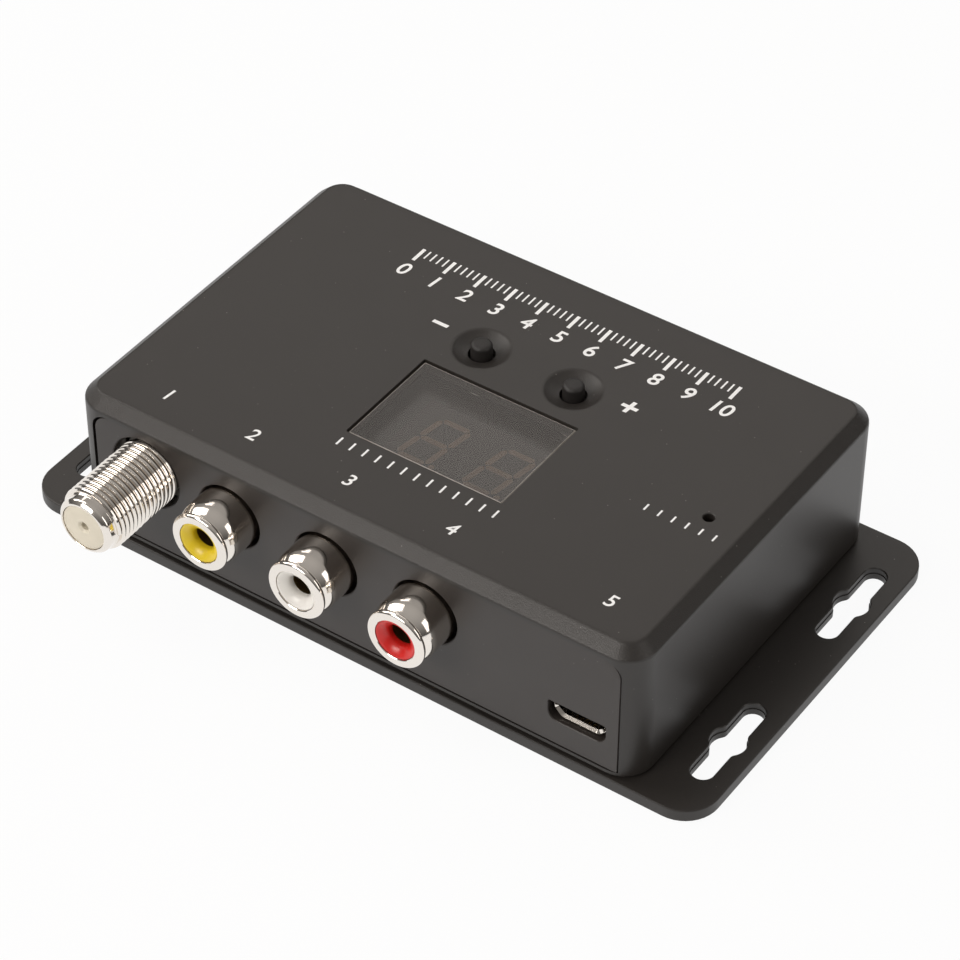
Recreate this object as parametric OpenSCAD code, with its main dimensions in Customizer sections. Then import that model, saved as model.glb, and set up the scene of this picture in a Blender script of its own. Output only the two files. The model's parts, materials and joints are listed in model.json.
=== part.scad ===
// Desktop radio frequency modulator: a small screw-down case with coaxial, phono and micro sockets.
// X runs along the length, the sockets face -Y and Z is up.
// The origin is the centre of the base plate's underside.

/* [Case] */
// Length of the case
case_len = 87.2; // [84:0.2:96]
// Depth of the case from front to back
case_depth = 57.4; // [55:0.2:66]
// Height of the case above the base plate
case_h = 21.8; // [21:0.1:28]
// Thickness of the walls and roof
case_wall = 2.0; // [1.6:0.1:2.6]
// Radius of the upright corners
case_corner_r = 4.2; // [3:0.1:6]
// Width of the bevel round the roof
bevel_w = 1.75; // [0.8:0.05:2.4]
// Drop of the bevel round the roof
bevel_drop = 1.6; // [0.6:0.05:1.9]
// Height of the shadow groove along the lower edge
groove_h = 0.4; // [0.2:0.05:0.7]
// Depth of the shadow groove along the lower edge
groove_depth = 0.4; // [0.2:0.05:0.8]
// Distance of each case screw from the end of the case
screw_inset_x = 4.7; // [4.2:0.1:6]
// Clearance between the front screw columns and the sockets
column_clearance = 0.8; // [0.4:0.1:3]
// Distance of the rear case screws from the back
screw_inset_back = 6.7; // [5.5:0.1:9]
// Radius of the screw columns inside the case
column_r = 2.8; // [2.2:0.1:3.4]

/* [Base plate] */
// Length of each flange beyond the case
flange_len = 9.4; // [8:0.1:16]
// Margin of the base plate in front of the case and behind it
plate_margin = 0.4; // [0:0.1:3]
// Thickness of the base plate
plate_t = 1.8; // [1.4:0.1:3]
// Radius of the flange corners
plate_corner_r = 5.0; // [2:0.1:7]
// Width of the fixing slots
slot_w = 3.2; // [2.6:0.1:4]
// Length of the fixing slots
slot_len = 15.2; // [12:0.1:18]
// Diameter of the round opening in the middle of a slot
slot_bulge_d = 4.9; // [4.2:0.1:5.6]
// Radius that blends the round opening into the slot
slot_blend_r = 1.0; // [0.4:0.1:1.6]
// Ledge halfway down the slot wall
slot_ledge = 0.1; // [0.05:0.01:0.3]
// Distance of the slots from the end of the flange
slot_edge = 4.2; // [3.6:0.1:7]
// Distance between the two slots of one flange
slot_span_y = 30.2; // [26:0.2:34]

/* [Front panel] */
// Width of the case left of the panel opening
jamb_left = 3.1; // [2.6:0.1:5]
// Width of the case right of the panel opening
jamb_right = 2.5; // [2.2:0.1:5]
// Height of the case above the panel opening
lintel_h = 2.15; // [2:0.05:3]
// Height of the rail below the panel opening
rail_h = 0.95; // [0.7:0.05:1.6]
// Radius of the upper corners of the panel opening
panel_corner_r = 2.6; // [1:0.1:4]
// Gap at the left edge of the panel
panel_gap_left = 0.5; // [0.1:0.05:0.8]
// Gap at the other edges of the panel
panel_gap = 0.15; // [0.05:0.05:0.4]
// Depth of the panel face behind the front of the case
panel_recess = 0.1; // [0.05:0.05:0.5]
// Thickness of the flange behind the front wall
panel_flange_t = 0.8; // [0.5:0.1:1.5]
// Overlap of the panel flange behind the front wall
panel_overlap = 1.2; // [0.8:0.1:1.8]

/* [Window and display] */
// Place of the window and buttons along the case, as a share of its length
control_share = 0.0264; // [-0.02:0.0001:0.06]
// Distance of the window's centre behind the front of the case
window_setback = 22.4; // [21:0.1:26]
// Length of the window opening
window_len = 24.1; // [22:0.1:27]
// Depth of the window opening
window_depth = 17.35; // [15:0.05:20]
// Gap round the window
window_gap = 0.15; // [0.05:0.05:0.3]
// Depth of the window below the roof
window_recess = 0.25; // [0.1:0.05:0.6]
// Thickness of the window's flange under the roof
window_flange_t = 0.8; // [0.5:0.1:1.2]
// Width of the window's flange under the roof
window_flange_w = 1.3; // [0.8:0.1:2]
// Length of the display module
display_len = 20.0; // [19:0.1:22]
// Depth of the display module
display_depth = 13.4; // [12:0.1:14]
// Height of the display module
display_h = 7.3; // [6:0.1:8]
// Shift of the display module along the window
display_shift_x = 1.55; // [0:0.05:1.8]
// Shift of the display module towards the front of the window
display_shift_y = -1.35; // [-1.6:0.05:0]
// Height of a digit
digit_h = 9.15; // [7:0.05:10]
// Width of a digit
digit_w = 5.2; // [4:0.1:6]
// Distance between the two digits
digit_pitch = 10.1; // [9.5:0.05:10.6]
// Width of a digit's bars
bar_w = 0.85; // [0.6:0.05:1.2]
// Lean of the digits in degrees
digit_lean = 9; // [0:1:12]

/* [Buttons] */
// Distance between the two buttons
button_span = 14.4; // [12:0.1:18]
// Distance of the buttons behind the window's centre
button_setback = 14.7; // [13.6:0.1:17]
// Radius of the dimple round a button
dimple_r = 4.0; // [3.2:0.1:4.6]
// Radius of the ball that forms the dimple
dimple_ball_r = 7.4; // [6.8:0.1:9]
// Radius of a button's cap
cap_r = 1.46; // [1.2:0.02:1.7]
// Gap round a button's cap
cap_gap = 0.38; // [0.2:0.02:0.5]
// Height of a cap above the roof
cap_proud = 0.95; // [0.5:0.05:1.5]
// Radius of the rounded top edge of a cap
cap_round = 0.5; // [0.2:0.05:0.7]
// Travel of a button
button_travel = 0.35; // [0.2:0.05:0.5]
// Width of a switch body
switch_w = 6.0; // [5:0.1:7]
// Height of a switch body
switch_h = 3.5; // [3:0.1:4]
// Radius of a switch plunger
plunger_r = 1.75; // [1.4:0.05:2]

/* [Power light] */
// Place of the light hole along the case, as a share of its length
led_share = 0.422; // [0.4:0.001:0.43]
// Distance of the light hole behind the window's centre
led_setback = 3.95; // [0:0.05:8]
// Radius of the light hole
led_hole_r = 0.77; // [0.5:0.01:1.2]
// Radius of the lamp
led_r = 1.5; // [1.3:0.05:1.8]
// Height of the lamp
led_h = 5.0; // [4:0.1:5.5]

/* [Coaxial connector] */
// Place of the coaxial connector along the case, as a share of its length
coax_share = -0.3624; // [-0.37:0.0001:-0.35]
// Height of the panel above the connector's hole
coax_margin_h = 1.07; // [0.8:0.01:2]
// Outer diameter of its thread
coax_thread_d = 9.525; // [9.4:0.005:9.6]
// Pitch of its thread
coax_pitch = 0.794; // [0.7:0.002:1]
// Depth of its thread
coax_thread_depth = 0.42; // [0.3:0.01:0.5]
// Length of the connector in front of the panel
coax_len = 13.0; // [11:0.1:15]
// Length of the plain nose
coax_nose_len = 1.5; // [1:0.1:2]
// Radius of the insulator as a share of the thread's root radius
coax_insulator_share = 0.76; // [0.65:0.01:0.85]
// Clearance of the thread in the panel's hole
coax_hole_gap = 0.64; // [0.5:0.01:1]

/* [Phono jacks] */
// Place of the middle jack along the case, as a share of its length
jack_mid_share = -0.0378; // [-0.05:0.0001:-0.02]
// Distance between jacks as a share of the case's length
jack_pitch_share = 0.1755; // [0.16:0.0001:0.18]
// Height of the panel above the jacks' holes
jack_margin_h = 2.25; // [1.5:0.05:3]
// Growth of the jack's shell from its neck to its collar
jack_collar_wall = 0.6; // [0.4:0.05:1.2]
// Length of the collar in front of the panel
jack_collar_len = 2.6; // [1.5:0.1:3.5]
// Length of the jack in front of the panel
jack_len = 6.1; // [5.5:0.1:8]
// Flare of the jack's rim beyond its neck
jack_rim_flare = 0.4; // [0.2:0.05:0.9]
// Radius of the jack's neck
jack_neck_r = 3.9; // [3.5:0.05:4.1]
// Thickness of the jack's shell
jack_shell_t = 0.4; // [0.3:0.05:0.5]
// Radius of the jack's centre bore
jack_bore_r = 1.62; // [1.55:0.01:1.75]
// Width of the jack's block beside its collar, and its height above the collar
jack_block_side = 0.5; // [0.3:0.1:1]
// Depth of the jack's block
jack_block_depth = 9.6; // [8:0.1:11]
// Clearance of the collar in the panel's hole
jack_hole_gap = 0.35; // [0.2:0.05:0.6]

/* [Micro socket] */
// Place of the micro socket along the case, as a share of its length
micro_share = 0.4002; // [0.39:0.0001:0.41]
// Width of the socket's shell
micro_w = 7.5; // [7:0.05:7.8]
// Width of the socket's lower face
micro_low_w = 5.4; // [5:0.05:6]
// Height of the socket's shell
micro_h = 2.5; // [2.2:0.05:2.8]
// Depth of the socket's shell
micro_depth = 5.6; // [5:0.1:7]
// Wall of the socket's shell
micro_wall = 0.28; // [0.2:0.02:0.35]
// Depth of the shell's mouth behind the panel face
micro_recess = 0.9; // [0.6:0.05:1.3]
// Gap beside the shell in the panel's opening
micro_gap_side = 0.475; // [0.3:0.025:0.8]
// Gap above and below the shell in the panel's opening
micro_gap_h = 0.3; // [0.2:0.05:0.6]

/* [Boards] */
// Height of the main board's pillars as a share of the case's height
board_pillar_share = 0.1674; // [0.14:0.0001:0.19]
// Thickness of the main board
board_t = 1.6; // [1.2:0.1:1.8]
// Thickness of the display board
display_board_t = 1.2; // [0.8:0.1:1.6]
// Radius of the screws' shanks
screw_r = 1.05; // [0.9:0.05:1.2]
// Radius of the screws' heads
screw_head_r = 2.1; // [1.8:0.05:2.3]
// Height of the board screws' heads
screw_head_h = 1.3; // [1:0.1:1.6]
// Length of the case screws
case_screw_len = 9.0; // [7:0.5:12]
// Length of the board screws below their heads
board_screw_len = 4.6; // [4:0.1:4.8]

/* [Hidden] */
$fn = 48;
// Angle between the points of a rounded edge in degrees
turn_step = 15;

// One overrun serves all cuts
over = 0.5;
// Clearance between static parts that fit together
fit_gap = 0.05;

// Heights
plate_top = plate_t;
roof_top = plate_top + case_h;
roof_under = roof_top - case_wall;
board_bottom = plate_top + case_h * board_pillar_share;
board_top = board_bottom + board_t;

// Fronts and backs
front_y = -case_depth / 2;
wall_y = front_y + case_wall;
panel_front = front_y + panel_recess;
panel_back = wall_y + panel_flange_t;
parts_front = panel_back + fit_gap;
inner_back = case_depth / 2 - case_wall;
inner_x = case_len / 2 - case_wall;

// Panel opening in the case
opening_left = -case_len / 2 + jamb_left;
opening_right = case_len / 2 - jamb_right;
opening_low = plate_top + rail_h;
opening_high = roof_top - lintel_h;

// Base plate and its slots
plate_len = case_len + 2 * flange_len;
plate_depth = case_depth + 2 * plate_margin;
slot_x = plate_len / 2 - slot_edge;

// Places along the panel
coax_x = case_len * coax_share;
jack_mid_x = case_len * jack_mid_share;
jack_pitch = case_len * jack_pitch_share;
micro_x = case_len * micro_share;
micro_front = panel_front + micro_recess;

// Screw places
case_screw_x = case_len / 2 - screw_inset_x;
case_screw_front = micro_front + micro_depth + column_clearance + column_r;
case_screw_back = case_depth / 2 - screw_inset_back;
case_screw_places = [[-case_screw_x, case_screw_front], [case_screw_x, case_screw_front],
    [-case_screw_x, case_screw_back], [case_screw_x, case_screw_back]];
// Straight pieces in each quarter of a slot's round middle, and in each of its shoulders
slot_steps = 6;
pilot_gap = 0.04;
clear_hole_gap = 0.25;
sink_depth = 1.2;
column_gap = 0.4;
// Board screws: two behind the jacks and two near the back
pillar_r = 2.4;
board_screw_inset = 3.4;
pillar_back_share = 0.72;
pillar_front_y = parts_front + jack_block_depth + screw_head_r + column_gap;
pillar_back_x = case_screw_x * pillar_back_share;
pillar_back_y = inner_back - board_screw_inset - column_r;
board_screw_places = [[jack_mid_x, pillar_front_y],
    [(jack_mid_x + jack_pitch + micro_x) / 2, pillar_front_y],
    [-pillar_back_x, pillar_back_y], [pillar_back_x, pillar_back_y]];

// Window, display and display board
control_x = case_len * control_share;
window_y = front_y + window_setback;
button_y = window_y + button_setback;
window_boss_len = window_len - 2 * window_gap;
window_boss_depth = window_depth - 2 * window_gap;
window_under = roof_under - window_flange_t;
display_gap = 0.1;
display_top = window_under - display_gap;
display_x = control_x + display_shift_x;
display_y = window_y + display_shift_y;
display_board_top = display_top - display_h;
display_board_bottom = display_board_top - display_board_t;
display_pillar_r = 2.4;
display_board_margin = 3.6;
display_board_left = control_x - window_len / 2 - window_flange_w - display_board_margin;
display_board_right = inner_x - column_gap;
display_board_front = parts_front + jack_block_depth + column_gap;
display_board_back = button_y + switch_w / 2 + display_board_margin;
display_screw_inset = 3.0;
display_screw_places = [
    [display_board_left + display_screw_inset, display_board_front + display_screw_inset],
    [case_screw_x - column_r - column_gap - display_pillar_r, display_board_back - display_screw_inset]];
display_screw_share = 0.66;
display_screw_len = display_board_t + (display_board_bottom - board_top) * display_screw_share;
bar_t = 0.6;
bar_gap = 0.12;
bar_fit = 0.02;
// Ends of the seven bars as shares of half a digit's width and height
bar_end_shares = [[[-1, 1], [1, 1]], [[-1, 0], [1, 0]], [[-1, -1], [1, -1]], [[-1, 0], [-1, 1]],
    [[1, 0], [1, 1]], [[-1, -1], [-1, 0]], [[1, -1], [1, 0]]];

// Buttons and switches
button_places = [[control_x - button_span / 2, button_y], [control_x + button_span / 2, button_y]];
cap_hole_r = cap_r + cap_gap;
cap_flange_r = cap_hole_r + cap_gap;
cap_flange_t = 0.7;
cap_stop_gap = 0.3;
plunger_gap = 0.05;
plunger_proud = 1.0;
plunger_sunk = 1.2;
plunger_well = plunger_sunk + 2 * button_travel;
plunger_top = display_board_top + switch_h + plunger_proud;
plunger_low = display_board_top + switch_h - plunger_sunk;
switch_tab_w = 0.7;
switch_tab_t = 0.2;
switch_tab_len = 0.9;
switch_cover_inset = 0.3;
switch_cover_t = 0.25;

// Power light
led_x = case_len * led_share;
led_y = window_y + led_setback;
led_flange_share = 0.2;
led_flange_r = led_r * (1 + led_flange_share);
led_roof_gap = 0.3;
led_top = roof_under - led_roof_gap;
led_low = led_top - led_h;
led_leg_w = 0.5;
led_leg_span = 2.54;

// Coaxial connector
coax_r = coax_thread_d / 2;
coax_root_r = coax_r - coax_thread_depth;
coax_insulator_r = coax_root_r * coax_insulator_share;
coax_hole_r = coax_r + coax_hole_gap;
coax_face = front_y - coax_len;
coax_thread_front = coax_face + coax_nose_len;
coax_crest_share = 0.125;
coax_hex_side = 0.3;
coax_turns = floor((front_y + case_wall / 2 - coax_thread_front) / coax_pitch);
coax_thread_back = coax_thread_front + coax_turns * coax_pitch;
coax_hex_r = coax_hole_r + coax_hex_side;
coax_hex_t = 1.5;
coax_hex_front = parts_front;
coax_hex_back = coax_hex_front + coax_hex_t;
coax_rim_share = 0.3;
coax_face_r = coax_insulator_r + (coax_root_r - coax_insulator_r) * coax_rim_share;
coax_insulator_sink = 0.12;
coax_pin_hole_r = 0.6;
coax_contact_r = 0.95;
coax_contact_wall = 0.3;
coax_contact_cover = 1.6;
coax_tail_len = 3.0;
coax_hole_shift_x = -0.35;
coax_hole_shift_z = -0.42;
coax_z = opening_high - coax_margin_h - coax_hole_r - coax_hole_shift_z;

// Phono jacks
jack_rim_r = jack_neck_r + jack_rim_flare;
jack_collar_r = jack_neck_r + jack_collar_wall;
jack_hole_r = jack_collar_r + jack_hole_gap;
jack_z = opening_high - jack_margin_h - jack_hole_r;
jack_x = [jack_mid_x - jack_pitch, jack_mid_x, jack_mid_x + jack_pitch];
jack_face = front_y - jack_len;
jack_collar_face = front_y - jack_collar_len;
jack_hole_shift = 0.15;
jack_rim_len = 0.95;
jack_rim_end = -60;
jack_lip_in = 0.5;
jack_lip_len = 0.6;
jack_lip_r = jack_neck_r - jack_shell_t - jack_lip_in;
jack_shell_back = parts_front + jack_block_depth / 2;
jack_lens_sink = 0.15;
jack_funnel_r = 2.75;
jack_funnel_len = 1.3;
jack_funnel_land = 0.4;
jack_lens_back = jack_face + jack_lens_sink + jack_funnel_len + jack_funnel_land;
jack_contact_wall = 0.25;
jack_flare_steps = 6;

// Shield can of the modulator
can_wall = 0.4;
can_side = 0.3;
can_left = column_r + column_gap - case_screw_x;
can_right = jack_mid_x - jack_pitch - jack_collar_r - jack_block_side - can_side;
can_front = coax_hex_back;
can_len = 30;
can_roof_gap = 1.2;
can_top = roof_under - can_roof_gap;
lid_lip_h = 3.0;
can_board_gap = 0.05;

// Micro socket
micro_side_h_share = 0.44;
micro_tongue_w = 3.7;
micro_tongue_t = 0.6;
micro_back_t = 1.2;
micro_pin_w = 0.3;
micro_pin_t = 0.1;
micro_pin_pitch = 0.65;
micro_pins = 5;
micro_slot_low_r = 1.5;
micro_slot_high_r = 0.35;

// Parts on the main board
board_edge_gap = 0.4;
header_posts = 8;
header_pitch = 2.54;
header_y = display_board_back - header_pitch;
coil_r = 2.0;
coil_wire_t = 0.45;
coil_h = 3.0;
coil_shares = [0.35, 0.6, 0.85];
chip_h = 1.5;
chip_leg_w = 0.4;
chip_leg_t = 0.2;
modulator_len = 10.0;
modulator_depth = 6.0;
modulator_legs = 8;
controller_len = 12.0;
controller_depth = 8.0;
controller_legs = 10;
regulator_len = 6.5;
regulator_depth = 3.5;
regulator_legs = 3;
crystal_len = 11.0;
crystal_depth = 4.6;
crystal_h_share = 0.68;
crystal_h = (display_board_bottom - board_top) * crystal_h_share;
crystal_round_share = 0.45;
capacitor_r = 2.5;
capacitor_h = 7.0;
capacitor_pitch = 7.5;
capacitor_count = 3;
chip_part_len = 1.6;
chip_part_w = 0.8;
chip_part_h = 0.6;
chip_part_pitch = 3.2;
chip_part_columns = 6;
chip_part_rows = 2;
chip_part_gap = 0.6;
chip_part_y = window_y + controller_depth / 2 + 2 * chip_leg_w + chip_part_gap;

// Screw heads
cross_arm_share = 0.55;
cross_half_share = 0.13;

// Tints of the phono insulators
video_tint = [0.93, 0.83, 0.18];
left_tint = [0.92, 0.9, 0.86];
right_tint = [0.8, 0.1, 0.09];

// Solid between two corners
module block(low, high) {
    translate(low) cube(high - low);
}

// Upright prism with four round corners, centred on the origin
module round_slab(len, depth, h, r) {
    block([-len / 2 + r, -depth / 2, 0], [len / 2 - r, depth / 2, h]);
    block([-len / 2, -depth / 2 + r, 0], [len / 2, depth / 2 - r, h]);
    for (sx = [-1, 1], sy = [-1, 1])
        translate([sx * (len / 2 - r), sy * (depth / 2 - r), 0]) cylinder(r = r, h = h);
}

// Slab whose edges slope inwards towards the top
module bevel_slab(len, depth, h, r, inset) {
    rotate([90, 0, 90]) translate([0, 0, -len / 2 + r]) linear_extrude(len - 2 * r)
        polygon([[-depth / 2, 0], [depth / 2, 0], [depth / 2 - inset, h], [-depth / 2 + inset, h]]);
    rotate([90, 0, 0]) translate([0, 0, -depth / 2 + r]) linear_extrude(depth - 2 * r)
        polygon([[-len / 2, 0], [len / 2, 0], [len / 2 - inset, h], [-len / 2 + inset, h]]);
    for (sx = [-1, 1], sy = [-1, 1])
        translate([sx * (len / 2 - r), sy * (depth / 2 - r), 0]) cylinder(r1 = r, r2 = r - inset, h = h);
}

// Cylinder along Y from y0 to y1 on the axis (x, z)
module rod_y(x, z, r, y0, y1) {
    translate([x, y1, z]) rotate([90, 0, 0]) cylinder(r = r, h = y1 - y0);
}

// Shape turned about a Y axis at (x, z): profile points are [radius, y]
module turned_y(x, z, points) {
    translate([x, 0, z]) rotate([-90, 0, 0]) rotate_extrude($fn = 64) polygon(points);
}

// Panel opening or panel outline with round upper corners, extruded along Y
module panel_slab(left, right, low, high, r, y0, y1) {
    block([left, y0, low], [right, y1, high - r]);
    block([left + r, y0, low], [right - r, y1, high]);
    for (x = [left + r, right - r]) rod_y(x, high - r, r, y0, y1);
}

// Outline of a fixing slot, long axis along Y: its middle opens into a round hole with blended shoulders
module slot_outline(w, slot_l, bulge_r, blend_r) {
    half = w / 2;
    centre = [half + blend_r, sqrt(pow(bulge_r + blend_r, 2) - pow(half + blend_r, 2))];
    turn = atan2(centre[1], centre[0]);
    quarter = concat(
        [for (i = [1:2:2 * slot_steps - 1]) let (a = turn * i / (2 * slot_steps))
            [bulge_r * cos(a), bulge_r * sin(a)]],
        [for (i = [0:slot_steps]) let (a = turn * (1 - i / slot_steps))
            [centre[0] - blend_r * cos(a), centre[1] - blend_r * sin(a)]]);
    last = len(quarter) - 1;
    translate([-half, -slot_l / 2 + half]) square([w, slot_l - w]);
    for (s = [-1, 1]) translate([0, s * (slot_l / 2 - half)]) circle(r = half);
    polygon(concat(quarter, [for (i = [last:-1:0]) [-quarter[i][0], quarter[i][1]]],
        [for (p = quarter) -p], [for (i = [last:-1:0]) [quarter[i][0], -quarter[i][1]]]));
}

module upper_case() {
    column_h = roof_under - plate_top + over;
    color([0.16, 0.155, 0.15]) difference() {
        union() {
            difference() {
                case_outer();
                inner_slab(0, plate_top - over, roof_under - plate_top + over);
            }
            for (p = case_screw_places) case_column(p, column_h);
        }
        case_pilots();
        case_panel_opening();
        case_window_opening();
        for (p = button_places) translate([p[0], p[1], 0]) {
            translate([0, 0, roof_under - over]) cylinder(r = cap_hole_r, h = case_wall + 2 * over);
            translate([0, 0, roof_top + sqrt(pow(dimple_ball_r, 2) - pow(dimple_r, 2))])
                sphere(r = dimple_ball_r, $fn = 96);
        }
        translate([led_x, led_y, roof_under - over]) cylinder(r = led_hole_r, h = case_wall + 2 * over);
    }
}

// Outer form of the case with its bevelled roof and the groove along its lower edge
module case_outer() {
    wall_h = case_h - bevel_drop - groove_h;
    translate([0, 0, plate_top])
        round_slab(case_len - 2 * groove_depth, case_depth - 2 * groove_depth, groove_h + over,
            case_corner_r - groove_depth);
    translate([0, 0, plate_top + groove_h]) round_slab(case_len, case_depth, wall_h, case_corner_r);
    translate([0, 0, roof_top - bevel_drop])
        bevel_slab(case_len, case_depth, bevel_drop, case_corner_r, bevel_w);
}

// Screw column with a web that joins it to the side wall
module case_column(place, h) {
    side = sign(place[0]);
    translate([place[0], place[1], plate_top]) cylinder(r = column_r, h = h);
    translate([place[0] + (side < 0 ? -screw_inset_x + case_wall / 2 : 0),
        place[1] - column_r / 2, plate_top]) cube([screw_inset_x - case_wall / 2, column_r, h]);
}

// Space inside the case walls, kept clear of them by a gap
module inner_slab(gap, z, h) {
    translate([0, 0, z])
        round_slab(case_len - 2 * case_wall - 2 * gap, case_depth - 2 * case_wall - 2 * gap, h,
            case_corner_r - case_wall);
}

module case_pilots() {
    for (p = case_screw_places) translate([p[0], p[1], plate_top - over])
        cylinder(r = screw_r + pilot_gap, h = case_screw_len + over);
}

module case_panel_opening() {
    panel_slab(opening_left, opening_right, opening_low, opening_high, panel_corner_r,
        front_y - over, wall_y + over);
}

module case_window_opening() {
    block([control_x - window_len / 2, window_y - window_depth / 2, roof_under - over],
        [control_x + window_len / 2, window_y + window_depth / 2, roof_top + over]);
}

module base_plate() {
    color([0.17, 0.165, 0.16]) difference() {
        union() {
            round_slab(plate_len, plate_depth, plate_t, plate_corner_r);
            for (p = board_screw_places) translate([p[0], p[1], 0])
                cylinder(r = pillar_r, h = board_bottom);
        }
        for (sx = [-1, 1], sy = [-1, 1])
            translate([sx * slot_x, sy * slot_span_y / 2, 0]) fixing_slot();
        for (p = case_screw_places) translate([p[0], p[1], 0]) {
            translate([0, 0, -over]) cylinder(r = screw_r + clear_hole_gap, h = plate_t + 2 * over);
            cylinder(r1 = screw_head_r + fit_gap, r2 = screw_r + fit_gap, h = sink_depth);
            translate([0, 0, -over]) cylinder(r = screw_head_r + fit_gap, h = over);
        }
        for (p = board_screw_places) translate([p[0], p[1], plate_t / 2])
            cylinder(r = screw_r + pilot_gap, h = board_bottom);
    }
}

// One fixing slot: the lower half is narrower by the ledge
module fixing_slot() {
    translate([0, 0, -over]) linear_extrude(plate_t + 2 * over)
        slot_outline(slot_w - 2 * slot_ledge, slot_len - 2 * slot_ledge,
            slot_bulge_d / 2 - slot_ledge, slot_blend_r);
    translate([0, 0, plate_t / 2]) linear_extrude(plate_t)
        slot_outline(slot_w, slot_len, slot_bulge_d / 2, slot_blend_r);
}

module front_panel() {
    color([0.18, 0.175, 0.17]) difference() {
        union() {
            panel_slab(opening_left + panel_gap_left, opening_right - panel_gap,
                opening_low + panel_gap, opening_high - panel_gap, panel_corner_r - panel_gap,
                panel_front, wall_y + over);
            intersection() {
                block([opening_left - panel_overlap, wall_y, plate_top + fit_gap],
                    [opening_right + panel_overlap, panel_back, roof_under - fit_gap]);
                inner_slab(fit_gap, plate_top, case_h);
            }
        }
        rod_y(coax_x + coax_hole_shift_x, coax_z + coax_hole_shift_z, coax_hole_r,
            front_y - over, panel_back + over);
        for (x = jack_x)
            rod_y(x + jack_hole_shift, jack_z, jack_hole_r, front_y - over, panel_back + over);
        micro_slot();
    }
}

// Opening for the micro socket: square upper corners and large round lower corners
module micro_slot() {
    low = board_top - micro_gap_h;
    high = board_top + micro_h + micro_gap_h;
    left = micro_x - micro_w / 2 - micro_gap_side;
    right = micro_x + micro_w / 2 + micro_gap_side;
    y0 = front_y - over;
    y1 = panel_back + over;
    block([left, y0, low + micro_slot_low_r], [right, y1, high - micro_slot_high_r]);
    block([left + micro_slot_low_r, y0, low], [right - micro_slot_low_r, y1, high]);
    block([left + micro_slot_high_r, y0, low + micro_slot_low_r], [right - micro_slot_high_r, y1, high]);
    for (x = [left + micro_slot_low_r, right - micro_slot_low_r])
        rod_y(x, low + micro_slot_low_r, micro_slot_low_r, y0, y1);
    for (x = [left + micro_slot_high_r, right - micro_slot_high_r])
        rod_y(x, high - micro_slot_high_r, micro_slot_high_r, y0, y1);
}

module display_window() {
    flange_len = window_len + 2 * window_flange_w;
    flange_depth = window_depth + 2 * window_flange_w;
    color([0.3, 0.28, 0.26, 0.7]) translate([control_x, window_y, 0]) {
        block([-window_boss_len / 2, -window_boss_depth / 2, roof_under],
            [window_boss_len / 2, window_boss_depth / 2, roof_top - window_recess]);
        block([-flange_len / 2, -flange_depth / 2, window_under],
            [flange_len / 2, flange_depth / 2, roof_under]);
    }
}

// Outline of a bar between two points of a digit: a hexagon with pointed ends
function bar_points(a, b, w, trim) =
    let (d = b - a, len = norm(d), u = d / len, v = [-u[1], u[0]], p = a + trim * u, q = b - trim * u)
    [p, p + w / 2 * (u + v), q + w / 2 * (v - u), q, q - w / 2 * (u + v), p + w / 2 * (u - v)];

// Point of a digit moved sideways with its height, so that the digit leans
function lean(p) = [p[0] + p[1] * tan(digit_lean), p[1]];

// Seven bars and a point of one digit centred on the origin
module digit_outline(grow) {
    half_w = (digit_w - bar_w) / 2;
    half_h = (digit_h - bar_w) / 2;
    for (ends = bar_end_shares)
        polygon([for (p = bar_points([ends[0][0] * half_w, ends[0][1] * half_h],
            [ends[1][0] * half_w, ends[1][1] * half_h], bar_w + 2 * grow, bar_gap - grow)) lean(p)]);
    translate(lean([half_w + bar_w + bar_gap, -half_h])) circle(r = bar_w / 2 + grow);
}

module digits(z0, z1, grow) {
    for (s = [-1, 1])
        translate([display_x + s * digit_pitch / 2, display_y, z0])
            linear_extrude(z1 - z0) digit_outline(grow);
}

module display_module() {
    color([0.33, 0.32, 0.3]) difference() {
        translate([display_x, display_y, 0])
            block([-display_len / 2, -display_depth / 2, display_board_top],
                [display_len / 2, display_depth / 2, display_top]);
        digits(display_top - bar_t, display_top + over, bar_fit);
    }
}

module digit_bars() {
    color([0.62, 0.55, 0.5]) digits(display_top - bar_t, display_top, 0);
}

module channel_button(place) {
    crown = roof_top + cap_proud;
    flange_top = roof_under - cap_stop_gap;
    color([0.13, 0.13, 0.13]) translate([place[0], place[1], 0]) rotate_extrude($fn = 64)
        polygon(concat([[0, plunger_top], [cap_r, plunger_top], [cap_r, flange_top - cap_flange_t],
            [cap_flange_r, flange_top - cap_flange_t], [cap_flange_r, flange_top], [cap_r, flange_top]],
            [for (a = [0:turn_step:90]) [cap_r - cap_round * (1 - cos(a)), crown - cap_round * (1 - sin(a))]],
            [[0, crown]]));
}

module switch_plunger(place) {
    color([0.75, 0.72, 0.66]) translate([place[0], place[1], plunger_low])
        cylinder(r = plunger_r, h = plunger_top - plunger_low);
}

module switch_body(place) {
    half = switch_w / 2;
    cover_half = half - switch_cover_inset;
    tab_root = half - 2 * switch_cover_inset;
    switch_top = display_board_top + switch_h;
    color([0.2, 0.2, 0.21]) translate([place[0], place[1], 0]) difference() {
        union() {
            block([-half, -half, display_board_top + switch_tab_t], [half, half, switch_top - switch_cover_t]);
            block([-cover_half, -cover_half, display_board_top], [cover_half, cover_half, switch_top]);
            for (sx = [-1, 1], sy = [-1, 1]) switch_tab(sx, sy, half, tab_root);
        }
        translate([0, 0, switch_top - plunger_well])
            cylinder(r = plunger_r + plunger_gap, h = plunger_well + over);
    }
}

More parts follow.
